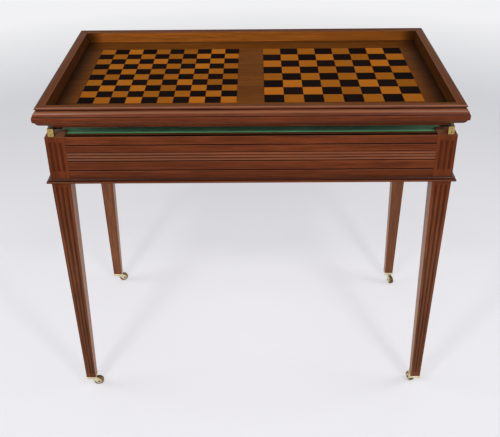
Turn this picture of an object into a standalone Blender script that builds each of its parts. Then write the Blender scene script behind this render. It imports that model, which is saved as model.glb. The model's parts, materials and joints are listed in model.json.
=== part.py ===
"""A mahogany games table with a roulette wheel under a lift-off tray of two inlaid boards.

Units are metres and +Z is up. The origin is on the floor under the middle of the table, X runs
along its length and Y from the front to the back. Sizes that can be set by themselves are the
named values below, and every place is worked out from them.
"""

import math

import bmesh
import bpy
from mathutils import Matrix, Vector

# The whole table, from the floor up
BASE_LENGTH = 0.838
BASE_DEPTH = 0.472
CASTOR_HEIGHT = 0.033
TAPER_LENGTH = 0.5555
BOX_HEIGHT = 0.1035
TRAY_GAP = 0.0260
MOULDING_HEIGHT = 0.0420
FIT = 0.0003
OVERRUN = 0.002
MERGE_DISTANCE = 0.00001

# Legs, with their posts in one piece, and the flutes of their two outer faces
POST_WIDTH = 0.040
FOOT_WIDTH = 0.0225
FOOT_INSET = 0.006
FLUTE_SHARES = (-0.27, 0.0, 0.27)
FLUTE_RADIUS_SHARE = 0.084
FLUTE_SINK_SHARE = 0.40
FLUTE_SIDES = 10
FLUTE_RINGS = 5
LEG_FLUTE_TOP = 0.014
LEG_FLUTE_FOOT = 0.012
POST_FLUTE_TOP = 0.015
POST_FLUTE_LENGTH = 0.062
ARRIS = 0.0006

# Aprons: a moulded face, a ledge for the playing board and a groove for the bottom board
APRON_THICKNESS = 0.024
APRON_RECESS = 0.0005
LEDGE_WIDTH = 0.015
LEDGE_DROP = 0.012
BOARD_GROOVE_RISE = 0.004
BOARD_GROOVE_DEPTH = 0.005
REED_CENTRE_DROP = 0.0457
REED_GROUP_HEIGHT = 0.0200
REED_COUNT = 3
REED_DEPTH = 0.0020
REED_SEGMENTS = 4
QUIRK_WIDTH = 0.0013
SCORE_RISE = 0.0267
SCORE_FALL = 0.0311
SCORE_WIDTH = 0.0028
SCORE_DEPTH = 0.0022
TENON_LENGTH = 0.014
TENON_THICKNESS = 0.006
TENON_SHOULDER = 0.022

# Waist moulding round the foot of the box
WAIST_HEIGHT = 0.0095
WAIST_FILLET = 0.004
WAIST_OVERHANG = 0.0082
WAIST_EDGE = 0.0012
WAIST_SEGMENTS = 5

# Boards inside the box and the cloth on the upper one
BOTTOM_BOARD_THICKNESS = 0.0075
PLAY_BOARD_THICKNESS = 0.0075
BAIZE_THICKNESS = 0.0011

# Tray: rim, moulding and boards
TRAY_OVERHANG = 0.0096
LIP_WIDTH = 0.006
LIP_HEIGHT = 0.0040
LIP_RISE = 0.0012
LIP_SEGMENTS = 3
RIM_WIDTH = 0.0185
WALL_SLOPE = 0.004
TRAY_DEPTH = 0.0245
QUIRK_SINK = 0.0024
QUIRK_DROP = 0.0050
QUIRK_HEIGHT = 0.0018
OVOLO_REACH = 0.0053
OVOLO_DROP = 0.0184
OVOLO_SWELL = 0.0011
OVOLO_SEGMENTS = 4
BAND_REACH = 0.0063
BAND_TOP_DROP = 0.0193
BAND_HEIGHT = 0.0058
BEAD_SINK = 0.0027
BEAD_HEIGHT = 0.0057
BEAD_SEGMENTS = 3
BEAD_STEP = 0.0010
UNDERCUT = 0.0090
UNDERCUT_SWELL = 0.0020
UNDERCUT_SEGMENTS = 4
UNDERBOARD_THICKNESS = 0.0070
UNDERBOARD_INSET_X = 0.0306
UNDERBOARD_INSET_Y = 0.0160
INLAY_THICKNESS = 0.0012
INLAY_SPACING = 0.058
INLAY_MARGIN = 0.0451
DRAUGHTS_SQUARES = 10
CHESS_SQUARES = 8

# Brass sockets on the posts and the steel pins under the tray
SOCKET_LENGTH = 0.0124
SOCKET_DEPTH = 0.0105
SOCKET_HEIGHT = 0.0180
SOCKET_INSET_X = 0.01375
SOCKET_INSET_Y = 0.0065
SOCKET_EDGE = 0.0006
SPIGOT_RADIUS = 0.004
SPIGOT_LENGTH = 0.012
PIN_RADIUS = 0.003
PIN_COLLAR_RADIUS = 0.0043
PIN_TANG_LENGTH = 0.014
PIN_STEM_LENGTH = 0.010
PIN_NOSE = 0.001
PIN_STEPS = 10

# Roulette bowl
BOWL_RADIUS = 0.158
BOWL_FLANGE = 0.012
BOWL_RIM_HEIGHT = 0.0105
BOWL_RIM_WIDTH = 0.016
BOWL_EDGE = 0.002
TRACK_WIDTH = 0.008
TRACK_DROP = 0.011
SLOPE_DROP = 0.020
WELL_RADIUS = 0.112
WELL_DEPTH = 0.028
BOWL_FLOOR = 0.008
BOWL_FOOT_RADIUS = 0.120
BOWL_EDGE_SEGMENTS = 2
BOWL_FOOT_SEGMENTS = 3
BOWL_STEPS = 36

# Wheel head, its fret ring, bush, spindle and turret
HEAD_GAP = 0.0015
HEAD_LIFT = 0.006
HEAD_RIM_HEIGHT = 0.012
HEAD_RIM_DROP = 0.001
NUMBER_RING_WIDTH = 0.020
NUMBER_RING_FALL = 0.005
POCKET_WIDTH = 0.0205
POCKET_DEPTH = 0.008
HEAD_CORE_RADIUS = 0.100
CONE_RISE = 0.014
HUB_RADIUS = 0.020
HUB_TOP_RADIUS = 0.0125
HUB_HEIGHT = 0.008
HUB_SEGMENTS = 3
POCKET_COUNT = 37
FRET_WALL = 0.001
FRET_FLOOR = 0.001
FRET_THICKNESS = 0.0012
FRET_DROP = 0.0005
BUSH_WALL = 0.0035
SPINDLE_RADIUS = 0.004
SPINDLE_FLANGE_RADIUS = 0.015
SPINDLE_TOP_GAP = 0.0015
SPINDLE_STUB_RADIUS = 0.006
SPINDLE_STEPS = 16
TURRET_HEIGHT = 0.0237
TURRET_BASE_RADIUS = 0.012
TURRET_NECK_RADIUS = 0.0055
TURRET_BOSS_RADIUS = 0.0085
TURRET_KNOB_RADIUS = 0.0045
KNOB_SEGMENTS = 3
TURRET_STEPS = 16
ARM_COUNT = 4
ARM_REACH = 0.034
ARM_RADIUS = 0.0018
ARM_BALL_RADIUS = 0.0036
ARM_BALL_RINGS = 5
ARM_STEPS = 8
ARM_HEIGHT_SHARE = 0.52

# Castors
PLATE_MARGIN = 0.0015
PLATE_THICKNESS = 0.005
PLATE_EDGE = 0.0008
STEM_RADIUS = 0.0032
STEM_REACH = 0.012
STEM_STEPS = 12
WHEEL_RADIUS = 0.012
WHEEL_WIDTH = 0.008
WHEEL_CROWN = 0.0012
WHEEL_HUB_RADIUS = 0.005
WHEEL_DISH = 0.0012
WHEEL_STEPS = 16
TRAIL = 0.0155
CROWN_RADIUS = 0.0085
CROWN_THICKNESS = 0.0042
CHEEK_THICKNESS = 0.002
CHEEK_GAP = 0.0005
CHEEK_EYE_RADIUS = 0.0060
CHEEK_SEGMENTS = 6
CHEEK_EYE_START = 225.0
CHEEK_FRONT_SHARE = 0.8
CHEEK_BACK_SHARE = 0.5
CHEEK_TOE_SHARE = 0.25
AXLE_RADIUS = 0.0015
AXLE_HEAD_RADIUS = 0.0025
AXLE_HEAD = 0.0008
AXLE_STEPS = 10
RUNNING_FIT = 0.0003

# Which way each castor trails at rest, in degrees from +X towards +Y
CASTOR_ANGLES = {
    "front_left": 12.0,
    "front_right": 118.0,
    "back_left": 30.0,
    "back_right": -70.0,
}
CORNERS = {
    "front_left": (-1, -1),
    "front_right": (1, -1),
    "back_left": (-1, 1),
    "back_right": (1, 1),
}

# Places and lengths that follow from the sizes above
WAIST_Z = CASTOR_HEIGHT + TAPER_LENGTH
RAIL_TOP_Z = WAIST_Z + BOX_HEIGHT
TRAY_Z = RAIL_TOP_Z + TRAY_GAP
HALF_LENGTH = BASE_LENGTH / 2
HALF_DEPTH = BASE_DEPTH / 2
TRAY_HALF_LENGTH = HALF_LENGTH + TRAY_OVERHANG
TRAY_HALF_DEPTH = HALF_DEPTH + TRAY_OVERHANG
TRAY_FLOOR = MOULDING_HEIGHT - TRAY_DEPTH
INLAY_LENGTH = (TRAY_HALF_LENGTH - RIM_WIDTH - WALL_SLOPE - INLAY_MARGIN
                - INLAY_SPACING / 2)
PLAY_BOARD_Z = RAIL_TOP_Z - LEDGE_DROP + FIT
BAIZE_Z = PLAY_BOARD_Z + PLAY_BOARD_THICKNESS + FIT
BOWL_SEAT_Z = BAIZE_Z + BAIZE_THICKNESS + FIT
BOWL_RIM_Z = BOWL_SEAT_Z + BOWL_RIM_HEIGHT
WELL_TOP_Z = BOWL_RIM_Z - TRACK_DROP - SLOPE_DROP
WELL_FLOOR_Z = WELL_TOP_Z - WELL_DEPTH
HEAD_BOTTOM_Z = WELL_FLOOR_Z + HEAD_LIFT
BUSH_RADIUS = SPINDLE_RADIUS + RUNNING_FIT + BUSH_WALL
HEAD_BORE_RADIUS = BUSH_RADIUS + FIT
SOCKET_X = HALF_LENGTH - SOCKET_INSET_X
SOCKET_Y = HALF_DEPTH - SOCKET_INSET_Y


def clear_scene():
    """Remove what the scene holds, so that the model starts from nothing."""
    for item in list(bpy.data.objects):
        bpy.data.objects.remove(item, do_unlink=True)


def collection_named(name):
    """A collection linked under the scene."""
    found = bpy.data.collections.new(name)
    bpy.context.scene.collection.children.link(found)
    return found


def linear(channel):
    """One sRGB channel from 0 to 1 as a linear value."""
    if channel <= 0.04045:
        return channel / 12.92
    return ((channel + 0.055) / 1.055) ** 2.4


def material_for(name, colour, roughness, metallic=0.0):
    """A Principled material with a colour written as RRGGBB."""
    made = bpy.data.materials.new(name)
    made.use_nodes = True
    shader = made.node_tree.nodes["Principled BSDF"]
    channels = [linear(int(colour[i:i + 2], 16) / 255) for i in (0, 2, 4)]
    shader.inputs["Base Color"].default_value = (*channels, 1.0)
    shader.inputs["Roughness"].default_value = roughness
    shader.inputs["Metallic"].default_value = metallic
    return made


def mahogany(name):
    return material_for(name + "_mahogany", "6B3320", 0.28)


def brass(name):
    return material_for(name + "_brass", "C9AF6E", 0.25, 1.0)


def steel(name):
    return material_for(name + "_steel", "4A4642", 0.35, 1.0)


def place(name, mesh, material, parent=None, location=(0, 0, 0)):
    """An object of the table with its own material, under an optional parent."""
    made = bpy.data.objects.new(name, mesh)
    made.data.materials.append(material)
    made.location = location
    made.parent = parent
    TABLE.objects.link(made)
    return made


def empty_at(name, location, angle=0.0, parent=None):
    """An empty that marks a joint's axis and carries the pieces that turn with it."""
    made = bpy.data.objects.new(name, None)
    made.location = location
    made.rotation_euler = (0, 0, angle)
    made.parent = parent
    TABLE.objects.link(made)
    return made


def cutter(name, mesh):
    """A guide body for a Boolean modifier, left out of the model."""
    made = bpy.data.objects.new(name, mesh)
    made.hide_render = True
    made.display_type = "WIRE"
    CUTTERS.objects.link(made)
    return made


def combine(piece, guide, operation):
    """Cut or join a guide body with an exact Boolean modifier."""
    step = piece.modifiers.new(guide.name, "BOOLEAN")
    step.operation = operation
    step.solver = "EXACT"
    step.object = guide


def mesh_from(name, bm):
    """Finish a bmesh as a mesh with its faces pointing out."""
    bmesh.ops.recalc_face_normals(bm, faces=bm.faces)
    mesh = bpy.data.meshes.new(name)
    bm.to_mesh(mesh)
    bm.free()
    return mesh


def add_box(bm, low, high):
    """A box between two corners, as one more body of the bmesh."""
    low = Vector(low)
    high = Vector(high)
    made = bmesh.ops.create_cube(bm, size=1)
    bmesh.ops.scale(bm, vec=high - low, verts=made["verts"])
    bmesh.ops.translate(bm, vec=(high + low) / 2, verts=made["verts"])


def add_cylinder(bm, radius, low, high, centre, sides):
    """An upright cylinder from low to high about a centre in plan."""
    place_at = Matrix.Translation((centre[0], centre[1], (low + high) / 2))
    bmesh.ops.create_cone(bm, cap_ends=True, segments=sides, radius1=radius, radius2=radius,
                          depth=high - low, matrix=place_at)


def add_prism(bm, start, end):
    """Extrude one outline, given as points at its start, to the points at its end."""
    order = bm.verts.layers.int.get("order") or bm.verts.layers.int.new("order")
    outline = []
    for index, point in enumerate(start):
        vert = bm.verts.new(point)
        vert[order] = index
        outline.append(vert)
    made = bmesh.ops.extrude_face_region(bm, geom=[bm.faces.new(outline)])
    for item in made["geom"]:
        if isinstance(item, bmesh.types.BMVert):
            item.co = end[item[order]]


def quarter_arc(start, end, segments, bulge_first):
    """Points of a quarter ellipse from start to end, the start left out.

    With bulge_first the curve leaves the start along its first coordinate and arrives along
    the second, otherwise the other way round.
    """
    points = []
    for step in range(1, segments + 1):
        angle = math.pi / 2 * step / segments
        early = math.sin(angle)
        late = 1 - math.cos(angle)
        first, second = (early, late) if bulge_first else (late, early)
        points.append((start[0] + (end[0] - start[0]) * first,
                       start[1] + (end[1] - start[1]) * second))
    return points


def swelling_line(start, end, swell, segments):
    """Points from start to end, the start left out, on a line that swells to its left."""
    run = (end[0] - start[0], end[1] - start[1])
    points = []
    for step in range(1, segments + 1):
        share = step / segments
        bulge = swell * math.sin(math.pi * share) / math.hypot(*run)
        points.append((start[0] + run[0] * share - run[1] * bulge,
                       start[1] + run[1] * share + run[0] * bulge))
    return points


def turned(name, profile, steps, material, parent=None, location=(0, 0, 0)):
    """A turned piece: the profile of radius and height swept once round by a Screw."""
    closed = profile[0][0] > 0
    count = len(profile)
    edges = [(i, i + 1) for i in range(count - 1)]
    if closed:
        edges.append((count - 1, 0))
    mesh = bpy.data.meshes.new(name)
    mesh.from_pydata([(radius, 0, height) for radius, height in profile], edges, [])
    made = place(name, mesh, material, parent, location)
    step = made.modifiers.new("turn", "SCREW")
    step.axis = "Z"
    step.steps = steps
    step.render_steps = steps
    step.use_merge_vertices = True
    step.merge_threshold = MERGE_DISTANCE
    step.use_smooth_shade = True
    return made


def solid_mesh(item):
    """The evaluated mesh of an object that only served to make it; the object goes."""
    bpy.context.view_layer.update()
    graph = bpy.context.evaluated_depsgraph_get()
    mesh = bpy.data.meshes.new_from_object(item.evaluated_get(graph))
    bpy.data.objects.remove(item, do_unlink=True)
    return mesh


def round_edges(piece, width):
    """A Bevel on the sharp edges of a piece."""
    step = piece.modifiers.new("arris", "BEVEL")
    step.width = width
    step.segments = 1
    step.limit_method = "ANGLE"


def add_flute(bm, low, high, low_radius, high_radius):
    """A cutter for one flute: a sphere drawn out from its low end to its high end."""
    made = bmesh.ops.create_uvsphere(bm, u_segments=FLUTE_SIDES, v_segments=FLUTE_RINGS,
                                     radius=1)
    axis = high - low
    turn = axis.to_track_quat("Z", "Y")
    for vert in made["verts"]:
        if vert.co.z > 0:
            vert.co = vert.co * high_radius + Vector((0, 0, axis.length))
        else:
            vert.co = vert.co * low_radius
        vert.co = turn @ vert.co + low


def face_point(corner, side, share, height):
    """A point on one of the two outer faces of a leg, and the width of the face there.

    The faces are upright down to the waist and run in to the foot below it.
    """
    way = min(max((WAIST_Z - height) / TAPER_LENGTH, 0), 1)
    width = POST_WIDTH + (FOOT_WIDTH - POST_WIDTH) * way
    inset = FOOT_INSET * way
    along = inset + width * (0.5 - share)
    out_x = HALF_LENGTH - (inset if side == "x" else along)
    out_y = HALF_DEPTH - (along if side == "x" else inset)
    return Vector((corner[0] * out_x, corner[1] * out_y, height)), width


def flute_cutters(name, corner):
    """Cutters for the flutes of a leg: three on each outer face, on the post and below it."""
    bm = bmesh.new()
    post_top = RAIL_TOP_Z - POST_FLUTE_TOP
    runs = [(post_top - POST_FLUTE_LENGTH, post_top),
            (CASTOR_HEIGHT + LEG_FLUTE_FOOT, WAIST_Z - LEG_FLUTE_TOP)]
    for side in ("x", "y"):
        outward = Vector((corner[0], 0, 0)) if side == "x" else Vector((0, corner[1], 0))
        for share in FLUTE_SHARES:
            for low_z, high_z in runs:
                low, low_width = face_point(corner, side, share, low_z)
                high, high_width = face_point(corner, side, share, high_z)
                low_radius = low_width * FLUTE_RADIUS_SHARE
                high_radius = high_width * FLUTE_RADIUS_SHARE
                low += outward * low_radius * FLUTE_SINK_SHARE
                high += outward * high_radius * FLUTE_SINK_SHARE
                add_flute(bm, low, high, low_radius, high_radius)
    return cutter(name + "_flutes", mesh_from(name + "_flutes", bm))


def tenon_box(corner, side, clearance):
    """The lowest and highest corners of a tenon, or of its mortise with a clearance.

    An apron along X has side x: its tenon enters the post along X.
    """
    low_z = WAIST_Z + TENON_SHOULDER - clearance
    high_z = RAIL_TOP_Z - TENON_SHOULDER + clearance
    half = TENON_THICKNESS / 2 + clearance
    if side == "x":
        start = HALF_LENGTH - POST_WIDTH
        middle = HALF_DEPTH - APRON_RECESS - APRON_THICKNESS / 2
    else:
        start = HALF_DEPTH - POST_WIDTH
        middle = HALF_LENGTH - APRON_RECESS - APRON_THICKNESS / 2
    near = start - OVERRUN
    far = start + TENON_LENGTH + clearance
    along = sorted((corner[0 if side == "x" else 1] * near,
                    corner[0 if side == "x" else 1] * far))
    across_sign = corner[1 if side == "x" else 0]
    across = sorted((across_sign * (middle - half), across_sign * (middle + half)))
    if side == "x":
        return (along[0], across[0], low_z), (along[1], across[1], high_z)
    return (across[0], along[0], low_z), (across[1], along[1], high_z)


def build_leg(name, corner):
    """One leg: a square post in the box and a square taper below it, in one piece of wood."""
    bm = bmesh.new()
    outer = Vector((corner[0] * HALF_LENGTH, corner[1] * HALF_DEPTH, 0))
    inward = Vector((-corner[0], -corner[1], 0))
    inner = outer + inward * POST_WIDTH
    low = Vector((min(outer.x, inner.x), min(outer.y, inner.y), WAIST_Z))
    high = Vector((max(outer.x, inner.x), max(outer.y, inner.y), RAIL_TOP_Z))
    add_box(bm, low, high)
    bm.faces.ensure_lookup_table()
    bottom = min(bm.faces, key=lambda face: face.calc_center_median().z)
    made = bmesh.ops.extrude_face_region(bm, geom=[bottom])
    bmesh.ops.delete(bm, geom=[bottom], context="FACES_ONLY")
    foot = [item for item in made["geom"] if isinstance(item, bmesh.types.BMVert)]
    for vert in foot:
        along = (vert.co - outer).to_2d()
        vert.co.x = outer.x - corner[0] * (FOOT_INSET + abs(along.x) / POST_WIDTH * FOOT_WIDTH)
        vert.co.y = outer.y - corner[1] * (FOOT_INSET + abs(along.y) / POST_WIDTH * FOOT_WIDTH)
        vert.co.z = CASTOR_HEIGHT
    piece = place(name, mesh_from(name, bm), mahogany(name))
    round_edges(piece, ARRIS)
    combine(piece, flute_cutters(name, corner), "DIFFERENCE")

    bm = bmesh.new()
    add_box(bm, *tenon_box(corner, "x", FIT))
    add_box(bm, *tenon_box(corner, "y", FIT))
    centre = (corner[0] * SOCKET_X, corner[1] * SOCKET_Y)
    add_cylinder(bm, SPIGOT_RADIUS + FIT, RAIL_TOP_Z - SPIGOT_LENGTH - FIT,
                 RAIL_TOP_Z + OVERRUN, centre, PIN_STEPS)
    add_cylinder(bm, STEM_RADIUS + FIT, CASTOR_HEIGHT - OVERRUN,
                 CASTOR_HEIGHT + STEM_REACH + FIT, foot_centre(corner), STEM_STEPS)
    holes = cutter(name + "_holes", mesh_from(name + "_holes", bm))
    combine(piece, holes, "DIFFERENCE")


def foot_centre(corner):
    """The middle of a foot in plan, where its castor swivels."""
    inset = FOOT_INSET + FOOT_WIDTH / 2
    return corner[0] * (HALF_LENGTH - inset), corner[1] * (HALF_DEPTH - inset)


def apron_profile():
    """The section of an apron as distance out from its face and height over its foot."""
    centre = BOX_HEIGHT - REED_CENTRE_DROP
    points = [(0, BOX_HEIGHT)]

    def score(height):
        return [(0, height + SCORE_WIDTH / 2), (-SCORE_DEPTH, height),
                (0, height - SCORE_WIDTH / 2)]

    points += score(centre + SCORE_RISE)
    top = centre + REED_GROUP_HEIGHT / 2
    reed = REED_GROUP_HEIGHT / REED_COUNT
    points.append((0, top + QUIRK_WIDTH))
    points.append((-REED_DEPTH, top))
    for index in range(REED_COUNT):
        for step in range(1, REED_SEGMENTS + 1):
            angle = math.pi * step / REED_SEGMENTS
            points.append((REED_DEPTH * (math.sin(angle) - 1),
                           top - reed * (index + (1 - math.cos(angle)) / 2)))
    points.append((0, top - REED_GROUP_HEIGHT - QUIRK_WIDTH))
    points += score(centre - SCORE_FALL)
    back = -APRON_THICKNESS
    groove_top = BOARD_GROOVE_RISE + BOTTOM_BOARD_THICKNESS + 2 * FIT
    points += [
        (0, 0),
        (back, 0),
        (back, BOARD_GROOVE_RISE),
        (back + BOARD_GROOVE_DEPTH, BOARD_GROOVE_RISE),
        (back + BOARD_GROOVE_DEPTH, groove_top),
        (back, groove_top),
        (back, BOX_HEIGHT - LEDGE_DROP),
        (back + LEDGE_WIDTH, BOX_HEIGHT - LEDGE_DROP),
        (back + LEDGE_WIDTH, BOX_HEIGHT),
    ]
    return points


def build_apron(name, side, sign):
    """One apron between two posts, with a tenon at each end."""
    half_run = (HALF_LENGTH if side == "x" else HALF_DEPTH) - POST_WIDTH - FIT
    face = (HALF_DEPTH if side == "x" else HALF_LENGTH) - APRON_RECESS
    start = []
    end = []
    for out, height in apron_profile():
        across = sign * (face + out)
        if side == "x":
            start.append((-half_run, across, WAIST_Z + height))
            end.append((half_run, across, WAIST_Z + height))
        else:
            start.append((across, -half_run, WAIST_Z + height))
            end.append((across, half_run, WAIST_Z + height))
    bm = bmesh.new()
    add_prism(bm, start, end)
    piece = place(name, mesh_from(name, bm), mahogany(name))
    bm = bmesh.new()
    for end_sign in (-1, 1):
        corner = (end_sign, sign) if side == "x" else (sign, end_sign)
        add_box(bm, *tenon_box(corner, side, 0))
    combine(piece, cutter(name + "_tenons", mesh_from(name + "_tenons", bm)), "UNION")


def mitred_strip(name, profile, half_x, half_y, side, sign, material, parent=None,
                 location=(0, 0, 0)):
    """A moulding along one side of a rectangle, with both ends mitred.

    The profile gives distance out from the rectangle and height. A point that lies further
    out also lies further along, so that the ends meet their neighbours on the diagonal.
    """
    gap = FIT / math.sqrt(2)
    start = []
    end = []
    for out, height in profile:
        if side == "x":
            run = half_x + out - gap
            across = sign * (half_y + out)
            start.append((-run, across, height))
            end.append((run, across, height))
        else:
            run = half_y + out - gap
            across = sign * (half_x + out)
            start.append((across, -run, height))
            end.append((across, run, height))
    bm = bmesh.new()
    add_prism(bm, start, end)
    return place(name, mesh_from(name, bm), material, parent, location)


def waist_profile():
    """A hollow that runs out to a square edge, round the foot of the box."""
    top = (WAIST_EDGE, WAIST_HEIGHT)
    points = [top]
    points += quarter_arc(top, (WAIST_OVERHANG, WAIST_FILLET), WAIST_SEGMENTS, False)
    points += [(WAIST_OVERHANG, 0), (FIT, 0), (FIT, WAIST_HEIGHT)]
    return points


def board_outline(reach_x, reach_y, notch_x, notch_y):
    """A rectangle with its corners notched round the posts, anticlockwise."""
    outline = []
    for sign_x, sign_y in ((1, 1), (-1, 1), (-1, -1), (1, -1)):
        long_end = (sign_x * reach_x, sign_y * notch_y)
        inside = (sign_x * notch_x, sign_y * notch_y)
        short_end = (sign_x * notch_x, sign_y * reach_y)
        turn = [long_end, inside, short_end]
        outline += turn if sign_x * sign_y > 0 else turn[::-1]
    return outline


def build_board(name, material, low_z, thickness, reach_in):
    """A board inside the box, its edges reach_in inside the faces of the aprons."""
    reach_x = HALF_LENGTH - APRON_RECESS - reach_in - FIT
    reach_y = HALF_DEPTH - APRON_RECESS - reach_in - FIT
    outline = board_outline(reach_x, reach_y, HALF_LENGTH - POST_WIDTH - FIT,
                            HALF_DEPTH - POST_WIDTH - FIT)
    bm = bmesh.new()
    add_prism(bm, [(x, y, low_z) for x, y in outline],
              [(x, y, low_z + thickness) for x, y in outline])
    return place(name, mesh_from(name, bm), material)


def build_box_boards():
    """The bottom board in its groove, and the playing board with its cloth on the ledge."""
    build_board("bottom_board", mahogany("bottom_board"), WAIST_Z + BOARD_GROOVE_RISE + FIT,
                BOTTOM_BOARD_THICKNESS, APRON_THICKNESS - BOARD_GROOVE_DEPTH)
    inside = APRON_THICKNESS - LEDGE_WIDTH
    playing = build_board("playing_board", mahogany("playing_board"), PLAY_BOARD_Z,
                          PLAY_BOARD_THICKNESS, inside)
    cloth = build_board("baize_field", material_for("baize_green", "3F7A5C", 0.95), BAIZE_Z,
                        BAIZE_THICKNESS, inside)
    bm = bmesh.new()
    add_cylinder(bm, BOWL_RADIUS + FIT, PLAY_BOARD_Z - OVERRUN,
                 BAIZE_Z + BAIZE_THICKNESS + OVERRUN, (0, 0), BOWL_STEPS)
    hole = cutter("bowl_hole", mesh_from("bowl_hole", bm))
    combine(playing, hole, "DIFFERENCE")
    combine(cloth, hole, "DIFFERENCE")


def build_bowl():
    """The turned bowl that hangs in the playing board: rim, ball track, slope and well."""
    rim = BOWL_RADIUS + BOWL_FLANGE
    inner = rim - BOWL_RIM_WIDTH
    track_z = BOWL_RIM_Z - TRACK_DROP
    floor_low = WELL_FLOOR_Z - BOWL_FLOOR
    bore = SPINDLE_STUB_RADIUS + FIT
    profile = [(rim - BOWL_EDGE, BOWL_RIM_Z)]
    profile += quarter_arc(profile[-1], (rim, BOWL_RIM_Z - BOWL_EDGE), BOWL_EDGE_SEGMENTS, True)
    profile += [
        (rim, BOWL_SEAT_Z),
        (BOWL_RADIUS, BOWL_SEAT_Z),
        (BOWL_RADIUS, WELL_TOP_Z + FIT),
    ]
    profile += quarter_arc(profile[-1], (BOWL_FOOT_RADIUS, floor_low), BOWL_FOOT_SEGMENTS, False)
    profile += [
        (bore, floor_low),
        (bore, WELL_FLOOR_Z),
        (WELL_RADIUS, WELL_FLOOR_Z),
        (WELL_RADIUS, WELL_TOP_Z),
        (inner - TRACK_WIDTH, track_z),
    ]
    profile += quarter_arc(profile[-1], (inner, track_z + TRACK_DROP / 2), BOWL_EDGE_SEGMENTS,
                           True)
    profile += [(inner, BOWL_RIM_Z - BOWL_EDGE)]
    profile += quarter_arc(profile[-1], (inner + BOWL_EDGE, BOWL_RIM_Z), BOWL_EDGE_SEGMENTS,
                           False)
    turned("wheel_bowl", profile, BOWL_STEPS, mahogany("wheel_bowl"))


def build_spindle():
    """The fixed steel spindle: a stub in the bowl's floor, a flange and an upright shaft."""
    top = hub_top() - SPINDLE_TOP_GAP
    flange_top = HEAD_BOTTOM_Z - FIT
    profile = [
        (0, top),
        (SPINDLE_RADIUS, top),
        (SPINDLE_RADIUS, flange_top),
        (SPINDLE_FLANGE_RADIUS, flange_top),
        (SPINDLE_FLANGE_RADIUS, WELL_FLOOR_Z + FIT),
        (SPINDLE_STUB_RADIUS, WELL_FLOOR_Z + FIT),
        (SPINDLE_STUB_RADIUS, WELL_FLOOR_Z - BOWL_FLOOR),
        (0, WELL_FLOOR_Z - BOWL_FLOOR),
    ]
    turned("spindle", profile, SPINDLE_STEPS, steel("spindle"))


def pocket_radii():
    """The outer and inner radius of the ring of pockets in the wheel head."""
    outer = WELL_RADIUS - HEAD_GAP - NUMBER_RING_WIDTH
    return outer, outer - POCKET_WIDTH


def pocket_top():
    """Height of the inner edge of the number ring."""
    return WELL_TOP_Z - HEAD_RIM_DROP - NUMBER_RING_FALL


def hub_top():
    return pocket_top() + CONE_RISE + HUB_HEIGHT


def build_wheel_head(axis):
    """The turning head: number ring, a channel for the pockets, a cone and a hub."""
    rim = WELL_RADIUS - HEAD_GAP
    rim_z = WELL_TOP_Z - HEAD_RIM_DROP
    outer, inner = pocket_radii()
    top = pocket_top()
    profile = [
        (rim, rim_z),
        (rim, rim_z - HEAD_RIM_HEIGHT),
        (HEAD_CORE_RADIUS, HEAD_BOTTOM_Z),
        (HEAD_BORE_RADIUS, HEAD_BOTTOM_Z),
        (HEAD_BORE_RADIUS, hub_top()),
        (HUB_TOP_RADIUS, hub_top()),
    ]
    profile += quarter_arc(profile[-1], (HUB_RADIUS, top + CONE_RISE), HUB_SEGMENTS, False)
    profile += [
        (inner, top),
        (inner, top - POCKET_DEPTH),
        (outer, top - POCKET_DEPTH),
        (outer, top),
    ]
    lowered = [(radius, height - WELL_FLOOR_Z) for radius, height in profile]
    turned("wheel_head", lowered, POCKET_COUNT, mahogany("wheel_head"), axis)


def build_fret_ring(axis):
    """The metal ring of pockets: a channel with a thin fret between each two pockets.

    The ring and the head have one facet for each pocket, so that they fit each other.
    """
    outer, inner = pocket_radii()
    outer -= FIT
    inner += FIT
    low = pocket_top() - POCKET_DEPTH + FIT - WELL_FLOOR_Z
    top = pocket_top() - FRET_DROP - WELL_FLOOR_Z
    profile = [
        (outer, top),
        (outer, low),
        (inner, low),
        (inner, top),
        (inner + FRET_WALL, top),
        (inner + FRET_WALL, low + FRET_FLOOR),
        (outer - FRET_WALL, low + FRET_FLOOR),
        (outer - FRET_WALL, top),
    ]
    ring = turned("fret_ring", profile, POCKET_COUNT, brass("fret_ring"), axis)
    bm = bmesh.new()
    for index in range(POCKET_COUNT):
        turn = Matrix.Rotation(2 * math.pi * index / POCKET_COUNT, 4, "Z")
        before = len(bm.verts)
        add_box(bm, (inner + FRET_WALL / 2, -FRET_THICKNESS / 2, low + FRET_FLOOR / 2),
                (outer - FRET_WALL / 2, FRET_THICKNESS / 2, top - FRET_DROP))
        bm.verts.ensure_lookup_table()
        bmesh.ops.transform(bm, matrix=turn, verts=bm.verts[before:])
    frets = cutter("frets", mesh_from("frets", bm))
    frets.parent = axis
    combine(ring, frets, "UNION")


def build_bush(axis):
    """The bearing bush pressed in the wheel head, which runs on the spindle."""
    inner = SPINDLE_RADIUS + RUNNING_FIT
    low = HEAD_BOTTOM_Z - WELL_FLOOR_Z
    top = hub_top() - WELL_FLOOR_Z
    profile = [(BUSH_RADIUS, top), (BUSH_RADIUS, low), (inner, low), (inner, top)]
    turned("wheel_bush", profile, SPINDLE_STEPS,
           material_for("wheel_bush_bronze", "9C7A45", 0.3, 1.0), axis)


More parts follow.
